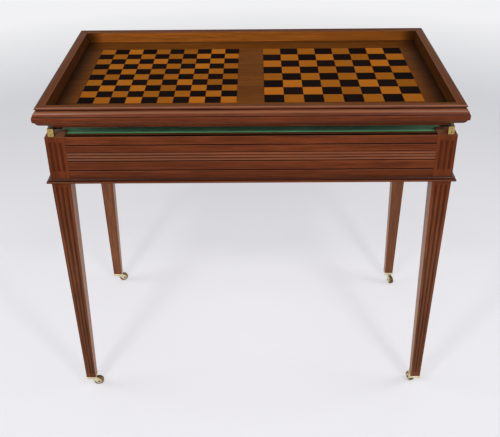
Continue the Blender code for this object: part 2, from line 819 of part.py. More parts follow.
def build_turret(axis):
    """The brass turret on the hub, with a cross of four arms that end in balls."""
    base = hub_top() + FIT - WELL_FLOOR_Z
    top = base + TURRET_HEIGHT
    arm_z = base + TURRET_HEIGHT * ARM_HEIGHT_SHARE
    profile = [(0, top)]
    profile += quarter_arc((0, top), (TURRET_KNOB_RADIUS, top - TURRET_KNOB_RADIUS),
                           KNOB_SEGMENTS, True)
    profile += [
        (TURRET_NECK_RADIUS / 2, top - 2 * TURRET_KNOB_RADIUS + ARM_RADIUS / 2),
        (TURRET_BOSS_RADIUS, arm_z + ARM_RADIUS),
        (TURRET_BOSS_RADIUS, arm_z - ARM_RADIUS),
        (TURRET_NECK_RADIUS, arm_z - 2 * ARM_RADIUS),
        (TURRET_NECK_RADIUS, base + ARM_BALL_RADIUS),
        (TURRET_BASE_RADIUS, base + ARM_RADIUS / 2),
        (TURRET_BASE_RADIUS, base),
        (0, base),
    ]
    turret = turned("turret", profile, TURRET_STEPS, brass("turret"), axis)

    ball_centre = ARM_REACH - ARM_BALL_RADIUS
    neck = math.asin(ARM_RADIUS / ARM_BALL_RADIUS)
    arm = [(0, ARM_REACH)]
    for step in range(1, ARM_BALL_RINGS + 1):
        angle = (math.pi - neck) * step / ARM_BALL_RINGS
        arm.append((ARM_BALL_RADIUS * math.sin(angle),
                    ball_centre + ARM_BALL_RADIUS * math.cos(angle)))
    arm += [(ARM_RADIUS, TURRET_BOSS_RADIUS / 2), (0, TURRET_BOSS_RADIUS / 2)]
    guide = turned("arm_guide", arm, ARM_STEPS, brass("arm_guide"))
    arm_mesh = solid_mesh(guide)
    bm = bmesh.new()
    for index in range(ARM_COUNT):
        before = len(bm.verts)
        bm.from_mesh(arm_mesh)
        bm.verts.ensure_lookup_table()
        lay_down = Matrix.Rotation(math.pi / 2, 4, "Y")
        turn = Matrix.Rotation(2 * math.pi * index / ARM_COUNT, 4, "Z")
        bmesh.ops.transform(bm, matrix=Matrix.Translation((0, 0, arm_z)) @ turn @ lay_down,
                            verts=bm.verts[before:])
    arms = cutter("turret_arms", mesh_from("turret_arms", bm))
    arms.parent = axis
    combine(turret, arms, "UNION")


def tray_profile():
    """The section of a tray side, as distance out from the lip and height over its foot.

    From the lip: a bead, a quirk, a slope that swells, a square band, a bead, a step and a
    swelling cut back to the underside. Inside, a flat band and a wall that slopes to the
    floor.
    """
    top = MOULDING_HEIGHT
    quirk_top = top - QUIRK_DROP
    band_top = top - BAND_TOP_DROP
    band_low = band_top - BAND_HEIGHT
    bead_low = band_low - BEAD_HEIGHT
    points = [(-LIP_WIDTH / 2, top)]
    points += quarter_arc(points[-1], (0, top - LIP_HEIGHT), LIP_SEGMENTS, True)
    points += [(-QUIRK_SINK, quirk_top), (-QUIRK_SINK, quirk_top - QUIRK_HEIGHT)]
    points += swelling_line(points[-1], (OVOLO_REACH, top - OVOLO_DROP), OVOLO_SWELL,
                            OVOLO_SEGMENTS)
    points += [(BAND_REACH, band_top), (BAND_REACH, band_low)]
    points += quarter_arc(points[-1], (BAND_REACH - BEAD_SINK, bead_low), BEAD_SEGMENTS,
                          False)
    points += [(BAND_REACH - BEAD_SINK - BEAD_STEP, bead_low)]
    points += swelling_line(points[-1], (-UNDERCUT, 0), UNDERCUT_SWELL, UNDERCUT_SEGMENTS)
    wall = -RIM_WIDTH - WALL_SLOPE
    points += [
        (wall, 0),
        (wall, TRAY_FLOOR),
        (-RIM_WIDTH, top - LIP_RISE),
        (-LIP_WIDTH, top - LIP_RISE),
    ]
    return points


def build_tray_sides(carrier):
    """Four mitred sides; the front and back ones are bored for the pins."""
    profile = tray_profile()
    for name, side, sign in (("tray_side_front", "x", -1), ("tray_side_back", "x", 1),
                             ("tray_side_left", "y", -1), ("tray_side_right", "y", 1)):
        piece = mitred_strip(name, profile, TRAY_HALF_LENGTH, TRAY_HALF_DEPTH, side, sign,
                             mahogany(name), carrier)
        if side == "x":
            bm = bmesh.new()
            for end_sign in (-1, 1):
                add_cylinder(bm, PIN_RADIUS + FIT, -OVERRUN, PIN_STEM_LENGTH + FIT,
                             (end_sign * SOCKET_X, sign * SOCKET_Y), PIN_STEPS)
            bores = cutter(name + "_bores", mesh_from(name + "_bores", bm))
            bores.parent = carrier
            combine(piece, bores, "DIFFERENCE")


def build_tray_boards(carrier):
    """The panel that the sides frame, the board under it and the two inlaid boards."""
    inside = RIM_WIDTH + WALL_SLOPE + FIT
    half_x = TRAY_HALF_LENGTH - inside
    half_y = TRAY_HALF_DEPTH - inside
    bm = bmesh.new()
    add_box(bm, (-half_x, -half_y, 0), (half_x, half_y, TRAY_FLOOR))
    panel = place("tray_panel", mesh_from("tray_panel", bm), mahogany("tray_panel"), carrier)
    bm = bmesh.new()
    half_inlay = INLAY_LENGTH / 2
    inlay_x = INLAY_SPACING / 2 + half_inlay
    for sign in (-1, 1):
        add_box(bm, (sign * inlay_x - half_inlay - FIT, -half_inlay - FIT,
                     TRAY_FLOOR - INLAY_THICKNESS - FIT),
                (sign * inlay_x + half_inlay + FIT, half_inlay + FIT, TRAY_FLOOR + OVERRUN))
    recesses = cutter("inlay_recesses", mesh_from("inlay_recesses", bm))
    recesses.parent = carrier
    combine(panel, recesses, "DIFFERENCE")

    under_x = TRAY_HALF_LENGTH - UNDERBOARD_INSET_X
    under_y = TRAY_HALF_DEPTH - UNDERBOARD_INSET_Y
    bm = bmesh.new()
    add_box(bm, (-under_x, -under_y, -UNDERBOARD_THICKNESS), (under_x, under_y, -FIT))
    place("tray_underboard", mesh_from("tray_underboard", bm), mahogany("tray_underboard"),
          carrier)
    build_inlay("draughts_board", DRAUGHTS_SQUARES, -inlay_x, carrier)
    build_inlay("chess_board", CHESS_SQUARES, inlay_x, carrier)


def build_inlay(name, squares, centre_x, carrier):
    """A veneer of light and dark squares in its recess, the near right square light."""
    bm = bmesh.new()
    bmesh.ops.create_grid(bm, x_segments=squares, y_segments=squares, size=INLAY_LENGTH / 2)
    size = INLAY_LENGTH / squares
    for face in bm.faces:
        spot = face.calc_center_median()
        column = round(spot.x / size + (squares - 1) / 2)
        row = round(spot.y / size + (squares - 1) / 2)
        face.material_index = (column + row) % 2
    mesh = mesh_from(name, bm)
    dark = material_for(name + "_ebony", "17131A", 0.25)
    piece = place(name, mesh, dark, carrier, (centre_x, 0, TRAY_FLOOR))
    piece.data.materials.append(material_for(name + "_satinwood", "B9701C", 0.25))
    step = piece.modifiers.new("veneer", "SOLIDIFY")
    step.thickness = INLAY_THICKNESS
    step.offset = -1


def build_socket(name, corner):
    """A brass socket on a post: a block with a bore for the pin and a spigot in the post."""
    centre = (corner[0] * SOCKET_X, corner[1] * SOCKET_Y)
    bm = bmesh.new()
    low = (-SOCKET_LENGTH / 2, -SOCKET_DEPTH / 2, FIT)
    high = (SOCKET_LENGTH / 2, SOCKET_DEPTH / 2, SOCKET_HEIGHT)
    add_box(bm, low, high)
    piece = place(name, mesh_from(name, bm), brass(name), None, (*centre, RAIL_TOP_Z))
    round_edges(piece, SOCKET_EDGE)
    bm = bmesh.new()
    add_cylinder(bm, SPIGOT_RADIUS, -SPIGOT_LENGTH, FIT + SOCKET_EDGE, (0, 0), PIN_STEPS)
    spigot = cutter(name + "_spigot", mesh_from(name + "_spigot", bm))
    spigot.location = piece.location
    combine(piece, spigot, "UNION")
    bm = bmesh.new()
    add_cylinder(bm, PIN_RADIUS + FIT, SOCKET_HEIGHT - PIN_TANG_LENGTH - FIT,
                 SOCKET_HEIGHT + OVERRUN, (0, 0), PIN_STEPS)
    bore = cutter(name + "_bore", mesh_from(name + "_bore", bm))
    bore.location = piece.location
    combine(piece, bore, "DIFFERENCE")


def build_pin(name, corner, carrier):
    """A steel pin in the tray: a stem, a collar that stands on the socket, and a tang."""
    collar_low = SOCKET_HEIGHT - TRAY_GAP + FIT
    profile = [
        (0, PIN_STEM_LENGTH),
        (PIN_RADIUS, PIN_STEM_LENGTH),
        (PIN_RADIUS, -FIT),
        (PIN_COLLAR_RADIUS, -FIT),
        (PIN_COLLAR_RADIUS, collar_low),
        (PIN_RADIUS, collar_low),
        (PIN_RADIUS, collar_low - PIN_TANG_LENGTH + PIN_NOSE + FIT),
        (PIN_RADIUS - PIN_NOSE, collar_low - PIN_TANG_LENGTH + FIT),
        (0, collar_low - PIN_TANG_LENGTH + FIT),
    ]
    turned(name, profile, PIN_STEPS, steel(name), carrier,
           (corner[0] * SOCKET_X, corner[1] * SOCKET_Y, 0))


def build_castor(name, corner, angle):
    """A brass castor: a plate on the foot, a fork that swivels, an axle and a wheel."""
    centre = foot_centre(corner)
    half = FOOT_WIDTH / 2 + PLATE_MARGIN
    plate_low = CASTOR_HEIGHT - FIT - PLATE_THICKNESS
    bm = bmesh.new()
    add_box(bm, (-half, -half, 0), (half, half, PLATE_THICKNESS))
    plate = place("castor_plate_" + name, mesh_from("castor_plate_" + name, bm),
                  brass("castor_plate_" + name), None, (*centre, plate_low))
    round_edges(plate, PLATE_EDGE)
    bm = bmesh.new()
    add_cylinder(bm, STEM_RADIUS + RUNNING_FIT, -OVERRUN, PLATE_THICKNESS + OVERRUN, (0, 0),
                 STEM_STEPS)
    eye = cutter("castor_eye_" + name, mesh_from("castor_eye_" + name, bm))
    eye.location = plate.location
    combine(plate, eye, "DIFFERENCE")

    swivel = empty_at("castor_swivel_" + name, (*centre, 0), math.radians(angle))
    crown_top = plate_low - FIT
    crown_low = crown_top - CROWN_THICKNESS
    cheek_in = WHEEL_WIDTH / 2 + CHEEK_GAP
    cheek_out = cheek_in + CHEEK_THICKNESS
    bm = bmesh.new()
    for sign in (-1, 1):
        outline = cheek_outline(crown_low, crown_top)
        sides = sorted((sign * cheek_in, sign * cheek_out))
        add_prism(bm, [(along, sides[0], height) for along, height in outline],
                  [(along, sides[1], height) for along, height in outline])
    fork_name = "castor_fork_" + name
    cheeks = cutter(fork_name + "_cheeks", mesh_from(fork_name + "_cheeks", bm))
    cheeks.parent = swivel
    bm = bmesh.new()
    add_cylinder(bm, AXLE_RADIUS + FIT, -cheek_out - OVERRUN, cheek_out + OVERRUN, (0, 0),
                 AXLE_STEPS)
    axle_hole = cutter(fork_name + "_hole", mesh_from(fork_name + "_hole", bm))
    axle_hole.parent = swivel
    axle_hole.location = (TRAIL, 0, WHEEL_RADIUS)
    axle_hole.rotation_euler = (math.pi / 2, 0, 0)
    stem_top = CASTOR_HEIGHT + STEM_REACH
    stem = [
        (0, stem_top),
        (STEM_RADIUS, stem_top),
        (STEM_RADIUS, crown_top),
        (CROWN_RADIUS, crown_top),
        (CROWN_RADIUS, crown_low),
        (0, crown_low),
    ]
    fork = turned(fork_name, stem, STEM_STEPS, brass(fork_name), swivel)
    combine(fork, cheeks, "UNION")
    combine(fork, axle_hole, "DIFFERENCE")

    bore = AXLE_RADIUS + RUNNING_FIT
    half_wheel = WHEEL_WIDTH / 2
    wheel_side = [
        (WHEEL_RADIUS - WHEEL_CROWN, half_wheel),
        (WHEEL_RADIUS, half_wheel - WHEEL_CROWN),
        (WHEEL_RADIUS, WHEEL_CROWN - half_wheel),
        (WHEEL_RADIUS - WHEEL_CROWN, -half_wheel),
        (WHEEL_HUB_RADIUS + WHEEL_DISH, -half_wheel),
        (WHEEL_HUB_RADIUS, WHEEL_DISH - half_wheel),
        (bore, WHEEL_DISH - half_wheel),
        (bore, half_wheel - WHEEL_DISH),
        (WHEEL_HUB_RADIUS, half_wheel - WHEEL_DISH),
        (WHEEL_HUB_RADIUS + WHEEL_DISH, half_wheel),
    ]
    roll = bpy.data.objects.new("castor_roll_" + name, None)
    roll.parent = swivel
    roll.location = (TRAIL, 0, WHEEL_RADIUS)
    roll.rotation_euler = (math.pi / 2, 0, 0)
    TABLE.objects.link(roll)
    turned("castor_wheel_" + name, wheel_side, WHEEL_STEPS, brass("castor_wheel_" + name),
           roll)
    head = cheek_out + FIT
    axle = [
        (0, head + AXLE_HEAD),
        (AXLE_HEAD_RADIUS, head + AXLE_HEAD),
        (AXLE_HEAD_RADIUS, head),
        (AXLE_RADIUS, head),
        (AXLE_RADIUS, -head),
        (AXLE_HEAD_RADIUS, -head),
        (AXLE_HEAD_RADIUS, -head - AXLE_HEAD),
        (0, -head - AXLE_HEAD),
    ]
    axle_piece = turned("castor_axle_" + name, axle, AXLE_STEPS, steel("castor_axle_" + name),
                        swivel, (TRAIL, 0, WHEEL_RADIUS))
    axle_piece.rotation_euler = (math.pi / 2, 0, 0)


def cheek_outline(crown_low, crown_top):
    """A fork cheek from the side: under the crown, and down round the eye of the axle."""
    back = -CROWN_RADIUS * CHEEK_BACK_SHARE
    points = [(back, (crown_low + crown_top) / 2), (-CROWN_RADIUS * CHEEK_TOE_SHARE, crown_low)]
    for step in range(CHEEK_SEGMENTS + 1):
        angle = math.radians(CHEEK_EYE_START) + math.pi * step / CHEEK_SEGMENTS
        points.append((TRAIL + CHEEK_EYE_RADIUS * math.cos(angle),
                       WHEEL_RADIUS + CHEEK_EYE_RADIUS * math.sin(angle)))
    points.append((CROWN_RADIUS * CHEEK_FRONT_SHARE, crown_top - FIT))
    points.append((back, crown_top - FIT))
    return points


def build_base():
    """Legs, aprons, waist moulding, boards and sockets."""
    for name, corner in CORNERS.items():
        build_leg("leg_" + name, corner)
        build_socket("socket_" + name, corner)
    for name, side, sign in (("front", "x", -1), ("back", "x", 1), ("left", "y", -1),
                             ("right", "y", 1)):
        build_apron("apron_" + name, side, sign)
        mitred_strip("waist_moulding_" + name, waist_profile(), HALF_LENGTH, HALF_DEPTH, side,
                     sign, mahogany("waist_" + name), None, (0, 0, WAIST_Z))
    build_box_boards()


def build_roulette():
    """The bowl and spindle that stay, and the head, frets, bush and turret that turn."""
    build_bowl()
    build_spindle()
    axis = empty_at("wheel_axis", (0, 0, WELL_FLOOR_Z))
    build_wheel_head(axis)
    build_fret_ring(axis)
    build_bush(axis)
    build_turret(axis)


def build_tray():
    """The tray that lifts off, with its pins."""
    carrier = empty_at("tray_lift", (0, 0, TRAY_Z))
    build_tray_sides(carrier)
    build_tray_boards(carrier)
    for name, corner in CORNERS.items():
        build_pin("tray_pin_" + name, corner, carrier)


def main():
    build_base()
    build_roulette()
    build_tray()
    for name, corner in CORNERS.items():
        build_castor(name, corner, CASTOR_ANGLES[name])


clear_scene()
TABLE = collection_named("roulette_table")
CUTTERS = collection_named("cutters")
main()
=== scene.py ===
"""A mahogany games table with a lift-off tray of two inlaid boards over a roulette wheel.

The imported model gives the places. Each operator makes one group of pieces, whose surfaces are
worked out with numpy as functions of two parameters, and the last one makes the stage. Units
are metres and +Z is up.
"""

import json
import math
from collections import namedtuple
from functools import partial

import bmesh
import bpy
import numpy as np
from bpy.props import FloatProperty, FloatVectorProperty, PointerProperty
from mathutils import Matrix, Vector


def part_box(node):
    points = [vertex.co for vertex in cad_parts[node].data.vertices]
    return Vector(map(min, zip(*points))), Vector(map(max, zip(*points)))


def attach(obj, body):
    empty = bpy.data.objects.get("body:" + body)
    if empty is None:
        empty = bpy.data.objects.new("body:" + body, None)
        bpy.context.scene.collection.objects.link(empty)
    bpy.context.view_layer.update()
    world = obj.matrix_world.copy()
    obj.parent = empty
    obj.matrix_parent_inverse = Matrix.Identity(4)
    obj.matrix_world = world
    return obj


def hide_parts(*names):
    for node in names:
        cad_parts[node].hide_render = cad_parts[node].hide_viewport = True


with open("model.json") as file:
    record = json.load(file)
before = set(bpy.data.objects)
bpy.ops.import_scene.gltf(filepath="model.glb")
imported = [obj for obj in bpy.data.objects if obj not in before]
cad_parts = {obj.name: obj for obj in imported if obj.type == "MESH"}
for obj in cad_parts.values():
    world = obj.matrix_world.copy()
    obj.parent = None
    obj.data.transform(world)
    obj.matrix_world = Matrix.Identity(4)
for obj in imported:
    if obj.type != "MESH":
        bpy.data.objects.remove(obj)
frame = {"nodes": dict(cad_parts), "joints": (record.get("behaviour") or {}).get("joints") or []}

bl_info = {
    "name": "Games Table",
    "version": (1, 0, 0),
    "blender": (4, 5, 0),
    "location": "3D View > Sidebar > Games Table",
    "description": "Makes the pieces and finishes of a mahogany games table and its stage",
    "category": "Add Mesh",
}

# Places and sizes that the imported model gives
LEG_LOW, LEG_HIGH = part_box("leg_front_right")
HALF_LENGTH = LEG_HIGH[0]
HALF_DEPTH = -LEG_LOW[1]
FOOT_Z = LEG_LOW[2]
RAIL_TOP_Z = LEG_HIGH[2]
POST_WIDTH = LEG_HIGH[0] - LEG_LOW[0]
WAIST_LOW, WAIST_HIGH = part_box("waist_moulding_front")
WAIST_Z = WAIST_LOW[2]
SIDE_LOW, SIDE_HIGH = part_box("tray_side_front")
TRAY_Z = SIDE_LOW[2]
TRAY_TOP_Z = SIDE_HIGH[2]
TRAY_FLOOR_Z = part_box("chess_board")[1][2]
SOCKET_LOW, SOCKET_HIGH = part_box("socket_front_right")
BOWL_LOW, BOWL_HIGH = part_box("wheel_bowl")
HEAD_LOW, HEAD_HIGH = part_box("wheel_head")
FRET_LOW, FRET_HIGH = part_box("fret_ring")
TURRET_LOW, TURRET_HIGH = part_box("turret")
PLATE_LOW, PLATE_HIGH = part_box("castor_plate_front_right")
JOINTS = {joint["name"]: joint for joint in frame["joints"]}
CORNERS = {
    "front_left": (-1, -1),
    "front_right": (1, -1),
    "back_left": (-1, 1),
    "back_right": (1, 1),
}
SIDES = {"front": ("x", -1), "back": ("x", 1), "left": ("y", -1), "right": ("y", 1)}
GAP = 0.0003

# Legs: a square foot set in from the post's outer faces, and three flutes on each outer face,
# with points closer together towards a flute's edge
FOOT_INSET = 0.006
FLUTE_SHARES = np.array([-0.27, 0.0, 0.27])
FLUTE_STEP_SHARES = np.array([0.28, 0.55, 0.8, 0.92, 1.0, 1.14])
POST_FLUTE_TOP = 0.015
POST_FLUTE_LENGTH = 0.062
LEG_FLUTE_TOP = 0.014
LEG_FLUTE_FOOT = 0.012
CORNER_SHARE = 0.022

# Aprons: a band, a score, three reeds between quirks, a score and a band
APRON_RECESS = 0.0005
APRON_THICKNESS = 0.024
LEDGE_WIDTH = 0.015
LEDGE_DROP = 0.012
GROOVE_RISE = 0.004
GROOVE_DEPTH = 0.005
GROOVE_HEIGHT = 0.0081
REED_CENTRE_DROP = 0.0457
REED_GROUP_HEIGHT = 0.0200
REED_COUNT = 3
QUIRK_WIDTH = 0.0013
SCORE_RISE = 0.0267
SCORE_FALL = 0.0311
SCORE_WIDTH = 0.0028

# Waist moulding: a hollow that runs out to a square fillet
WAIST_FILLET = 0.004
WAIST_EDGE = 0.0012

# Tray side: lip bead, quirk, swelling slope, band, bead, step, cut to the underside, wall, rim
LIP_WIDTH = 0.006
LIP_HEIGHT = 0.0040
LIP_RISE = 0.0012
RIM_WIDTH = 0.0185
WALL_SLOPE = 0.004
QUIRK_SINK = 0.0024
QUIRK_DROP = 0.0050
QUIRK_HEIGHT = 0.0018
OVOLO_REACH = 0.0053
OVOLO_DROP = 0.0184
OVOLO_SWELL = 0.0011
BAND_REACH = 0.0063
BAND_TOP_DROP = 0.0193
BAND_HEIGHT = 0.0058
BEAD_SINK = 0.0027
BEAD_HEIGHT = 0.0057
BEAD_STEP = 0.0010
UNDERCUT = 0.0090
UNDERCUT_SWELL = 0.0020

# Cloth on the playing board, which leaves a margin of wood bare
CLOTH_MARGIN = 0.017

# Pins and the screws that hold the sockets
PIN_RADIUS = 0.003
PIN_COLLAR_RADIUS = 0.0043
PIN_STEM_LENGTH = 0.010
PIN_TANG_LENGTH = 0.014
PIN_NOSE = 0.001
SCREW_RADIUS = 0.0013
SCREW_SPACING = 0.0085
SCREW_STAND = 0.0003
SPIGOT_LENGTH = 0.012

# Roulette bowl and wheel
RIM_BAND = 0.016
BOWL_FLANGE = 0.012
BOWL_SEAT_RISE = 0.0105
TRACK_WIDTH = 0.008
TRACK_DROP = 0.011
SLOPE_DROP = 0.020
WELL_RADIUS = 0.112
WELL_DEPTH = 0.028
BOWL_FOOT_RADIUS = 0.120
BOWL_BORE = 0.0063
HEAD_SINK = 0.001
HEAD_RIM_HEIGHT = 0.012
HEAD_CORE_RADIUS = 0.100
HEAD_BORE = 0.0081
NUMBER_RING_WIDTH = 0.020
NUMBER_RING_FALL = 0.005
POCKET_DEPTH = 0.008
POCKET_WIDTH = 0.0205
CONE_RISE = 0.014
CONE_POWER = 1.6
HUB_RADIUS = 0.020
HUB_TOP_RADIUS = 0.0125
POCKET_COUNT = 37
FRET_WALL = 0.001
FRET_THICKNESS = 0.0012
KNOB_RADIUS = 0.0045
NECK_RADIUS = 0.0055
BOSS_RADIUS = 0.0085
TURRET_BASE_RADIUS = 0.012
ARM_RADIUS = 0.0018
ARM_BALL_RADIUS = 0.0036
ARM_HEIGHT_SHARE = 0.52
ARM_COUNT = 4
DEFLECTOR_COUNT = 8
DEFLECTOR_LENGTH = 0.020
DEFLECTOR_WIDTH = 0.0045
DEFLECTOR_HEIGHT = 0.0022

# Castors
WHEEL_RADIUS = 0.012
WHEEL_WIDTH = 0.008
WHEEL_CROWN = 0.0016
TREAD_SHARE = 0.4
WHEEL_HUB_RADIUS = 0.005
WHEEL_DISH = 0.0012
WHEEL_BORE = 0.0018
CROWN_RADIUS = 0.0085
CROWN_THICKNESS = 0.0042
STEM_RADIUS = 0.0032
STEM_REACH = 0.012
CHEEK_GAP = 0.0005
CHEEK_THICKNESS = 0.002
CHEEK_EYE_RADIUS = 0.0060
CHEEK_ROUNDING = 0.0015
AXLE_RADIUS = 0.0015
AXLE_HEAD_RADIUS = 0.0025
AXLE_HEAD = 0.0008

# Woods: how far up the legs they start to go over to the case's darker colour, how much a grain is
# drawn out and how deep it is, and the joint between two squares, as wide as it needs to be to
# show
LEG_DARKENING_SHARE = 0.62
GRAIN_STRETCH = 0.045
PORE_DEPTH = 0.0002
VENEER_STRETCH = 0.12
VENEER_RELIEF = 0.0001
GRAIN_SHIFT = 4.0
GLUE_WIDTH = 0.0004

# Painted shade: how far it reaches from the tray's walls, with old wax there, and from an apron's
# foot
END_SHADE_START = 0.052
END_SHADE_END = 0.004
SIDE_SHADE_START = 0.030
FOOT_SHADE_REACH = 0.012

# Wear and painted light: where a point's relief, from -1 in a hollow to 1 on an arris, starts to
# show as painted shade with wax or as bare wood with painted highlight and where it shows whole,
# and how much each place gets painted shade, painted highlight or wear
HOLLOW_RANGE = (-0.05, -0.5)
ARRIS_RANGE = (0.25, 0.9)
WORN_SHARE = 0.28
# Painted shade in the scores, at the apron's foot, in the waist's hollow, the flutes, the quirk,
# the parting and under the band, and painted highlights on the reeds, the crown and the lip
SCORE_SHADE = 1.1
REED_HIGHLIGHT = 0.6
FOOT_SHADE = 0.25
WAIST_HOLLOW_SHADE = 0.3
FLUTE_SHADE = 0.28
LEG_END_RUBBED = 0.5
CROWN_HIGHLIGHT = 0.9
LIP_HIGHLIGHT = 1.2
QUIRK_SHADE = 0.8
PARTING_SHADE = 1.3
UNDER_BAND_SHADE = 0.17
BAND_LIGHT_SHARE = 0.6
LIP_EDGE_SHARE = 0.7

# Painted highlight and shade lines on a tray side: how far the crown's highlight lies under the
# top, and how far they spread
CROWN_HIGHLIGHT_DROP = 0.0105
CROWN_HIGHLIGHT_SPREAD = 0.0026
LIP_HIGHLIGHT_SPREAD = 0.0016
PARTING_SHADE_SPREAD = 0.0006

# Cloth and metals: fibre and scratches, as coarse as they need to be to show, and clouds
FIBRE_WIDTH = 0.0007
NAP_DEPTH = 0.0003
CLOUD_WIDTH = 0.045
SCRATCH_WIDTH = 0.0006
SCRATCH_DEPTH = 0.0001

# The number ring's brass line, and how far the ring lies from the rim and the pockets
RULE_WIDTH = 0.0008
NUMBERS_FROM_RIM = 0.003
NUMBERS_FROM_POCKETS = 0.001

# Background paper: its form, and how far from the middle its tone, a painted shade and then a
# painted light, and its glow change
FLOOR_RADIUS = 4.2
SWEEP_RADIUS = 1.6
WALL_HEIGHT = 4.5
PAPER_CLOUD_WIDTH = 1.25
SHADED_FLOOR_REACH = (0.1, 0.8)
LIT_WALL_REACH = (1.9, 3.1)
GLOW_REACH = (0.8, 2.4)

# Lamps: name, place, target, width, height and power
LAMPS = (
    ("left", (-0.95, -1.8, 2.1), (0, 0, 0.6), 0.3, 0.22, 16),
    ("right", (0.95, -1.8, 2.1), (0, 0, 0.6), 0.3, 0.22, 16),
    ("end_left", (-2.3, -0.1, 0.9), (0, 0, 0.4), 1.2, 1.2, 26),
    ("end_right", (2.3, -0.1, 0.9), (0, 0, 0.4), 1.2, 1.2, 26),
    ("front", (0, -2.7, 1.9), (0, 0, 0.5), 2.6, 1.4, 13),
    ("top", (0.1, 0.3, 2.9), (0, 0, 0.5), 2.2, 1.8, 7.5),
)
AIR_STRENGTH = 0.62

# Camera, measured from the photograph's lines
SENSOR_WIDTH = 36.0
LENS = 55.16
CAMERA_PLACE = (0.0109, -1.6441, 1.3607)
CAMERA_YAW = -0.565
CAMERA_PITCH = 31.536
CAMERA_ROLL = -0.613

# Meshes: how near two points are merged, the least angle of a sharp edge in degrees, and the
# most of an edge that its corner's rounding takes, with the point past it that holds the flat
MERGE_DISTANCE = 1e-7
SHARP_ANGLE = 38
MOST_CUT_SHARE = 0.38
HELD_SHARE = 1.25

Patch = namedtuple("Patch", "points closed caps relief zone", defaults=(0,))


def linear(text):
    """The sRGB colour RRGGBB as linear red, green, blue and alpha."""
    channels = np.array([int(text[i:i + 2], 16) for i in (0, 2, 4)]) / 255
    bent = np.where(channels <= 0.04045, channels / 12.92, ((channels + 0.055) / 1.055) ** 2.4)
    return (*bent.tolist(), 1.0)


def colour_property(name, description, text):
    """A colour that a user can change, with its default written as RRGGBB."""
    return FloatVectorProperty(name=name, description=description, subtype="COLOR", size=4,
                               min=0.0, max=1.0, default=linear(text))


def length_property(name, description, default):
    """A length that a user can change, in metres."""
    return FloatProperty(name=name, description=description, default=default,
                         subtype="DISTANCE", unit="LENGTH")


def share_property(name, description, default):
    """A share that a user can change, from 0 to 1."""
    return FloatProperty(name=name, description=description, default=default, min=0.0, max=1.0,
                         subtype="FACTOR")


class GamesTableSizes(bpy.types.PropertyGroup):
    """Sizes of the finish that don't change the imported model."""

    arris: length_property("Arris", "How far the wood's edges are rubbed round", 0.0009)
    metal_edge: length_property("Metal edge", "Radius of the brass edges", 0.0005)
    foot_width: length_property("Foot width", "Width of a leg at its castor", 0.0225)
    flute_radius: share_property("Flute radius", "A flute's radius over the leg's width", 0.084)
    flute_sink: share_property("Flute sink", "How far a flute's axis lies outside the wood, "
                               "over its radius", 0.40)
    reed_depth: length_property("Reed depth", "Depth of the hollows by the reeds", 0.0020)
    score_depth: length_property("Score depth", "Depth of the aprons' scores", 0.0022)
    figure: length_property("Figure", "Width of the wood's broad ribbons", 0.030)
    streak: length_property("Streak", "Width of the wood's grain lines", 0.0035)
    pore: length_property("Pore", "Width of the wood's pores, coarse enough to show", 0.0012)


class GamesTableColours(bpy.types.PropertyGroup):
    """Colours of the finishes."""

    case: colour_property("Case", "The outer mahogany", "5F2D15")
    field: colour_property("Field", "The wood round the boards in the tray", "603612")
    rim: colour_property("Rim", "The flat rim of the tray", "5C3113")
    # The long and end wall colours are one veneer, with painted light on the long walls and
    # painted shade on the end walls
    lit_long_wall: colour_property("Long walls", "The long walls inside the tray", "96551C")
    shaded_end_wall: colour_property("End walls", "The short walls inside the tray", "42240F")
    leg: colour_property("Leg", "The legs' wood, bleached by light", "693E27")
    board: colour_property("Playing board", "The dark board under the cloth", "57351E")
    satinwood: colour_property("Satinwood", "The light squares", "915415")
    ebony: colour_property("Ebony", "The dark squares", "150D0A")
    baize: colour_property("Baize", "The green cloth", "478F5F")
    brass: colour_property("Brass", "Sockets, pockets and turret", "CDAE68")
    castor_brass: colour_property("Castor brass", "The castors' paler brass", "E6DCB8")
    steel: colour_property("Steel", "Pins, axles and spindle", "57514B")
    floor: colour_property("Floor", "The paper under the table", "ECEBEE")
    # The far floor's darker tone is a painted shade, and the wall's lighter tone a painted light
    shaded_far_floor: colour_property("Far floor", "The paper behind the table", "CECFD3")
    wall: colour_property("Wall", "The paper where it rises", "F2F2F4")


def feed(target, inputs):
    """Fill a node's inputs: a socket is linked, and any other value is set."""
    for key, value in inputs.items():
        if isinstance(value, bpy.types.NodeSocket):
            target.id_data.links.new(value, target.inputs[key])
        else:
            target.inputs[key].default_value = value


def node(tree, kind, inputs=(), output=None, **settings):
    """Add a shader node with its settings and inputs, and return one of its outputs.

    The inputs are named or stand in the node's order. The output is the first one that the
    settings leave in use, unless it is named.
    """
    made = tree.nodes.new("ShaderNode" + kind)
    for name, value in settings.items():
        setattr(made, name, value)
    feed(made, inputs if isinstance(inputs, dict) else dict(enumerate(inputs)))
    if output:
        return made.outputs[output]
    return next(socket for socket in made.outputs if socket.enabled)


def new_material(name):
    """A material, the function that adds a node to it, and its Principled shader."""
    made = bpy.data.materials.new(name)
    made.use_nodes = True
    return made, partial(node, made.node_tree), made.node_tree.nodes["Principled BSDF"]


def wood_tones(colour, spread):
    """The dark, middle and light tone of a wood, each spread times the last, and a worn one that
    also gives the painted highlights.
    """
    middle = np.array(colour[:3])
    tones = [middle * spread ** step for step in (-1, 0, 1)]
    bare = np.array(linear("C8A684")[:3])
    tones.append(tones[2] * (1 - WORN_SHARE) + bare * WORN_SHARE)
    return [(*tone.tolist(), 1.0) for tone in tones]


def relief_shares(add):
    """How much of a point lies in a hollow, and how much on an arris, from 0 to 1."""
    relief = add("Attribute", output="Fac", attribute_name="relief")
    return add("MapRange", (relief, *HOLLOW_RANGE)), add("MapRange", (relief, *ARRIS_RANGE))


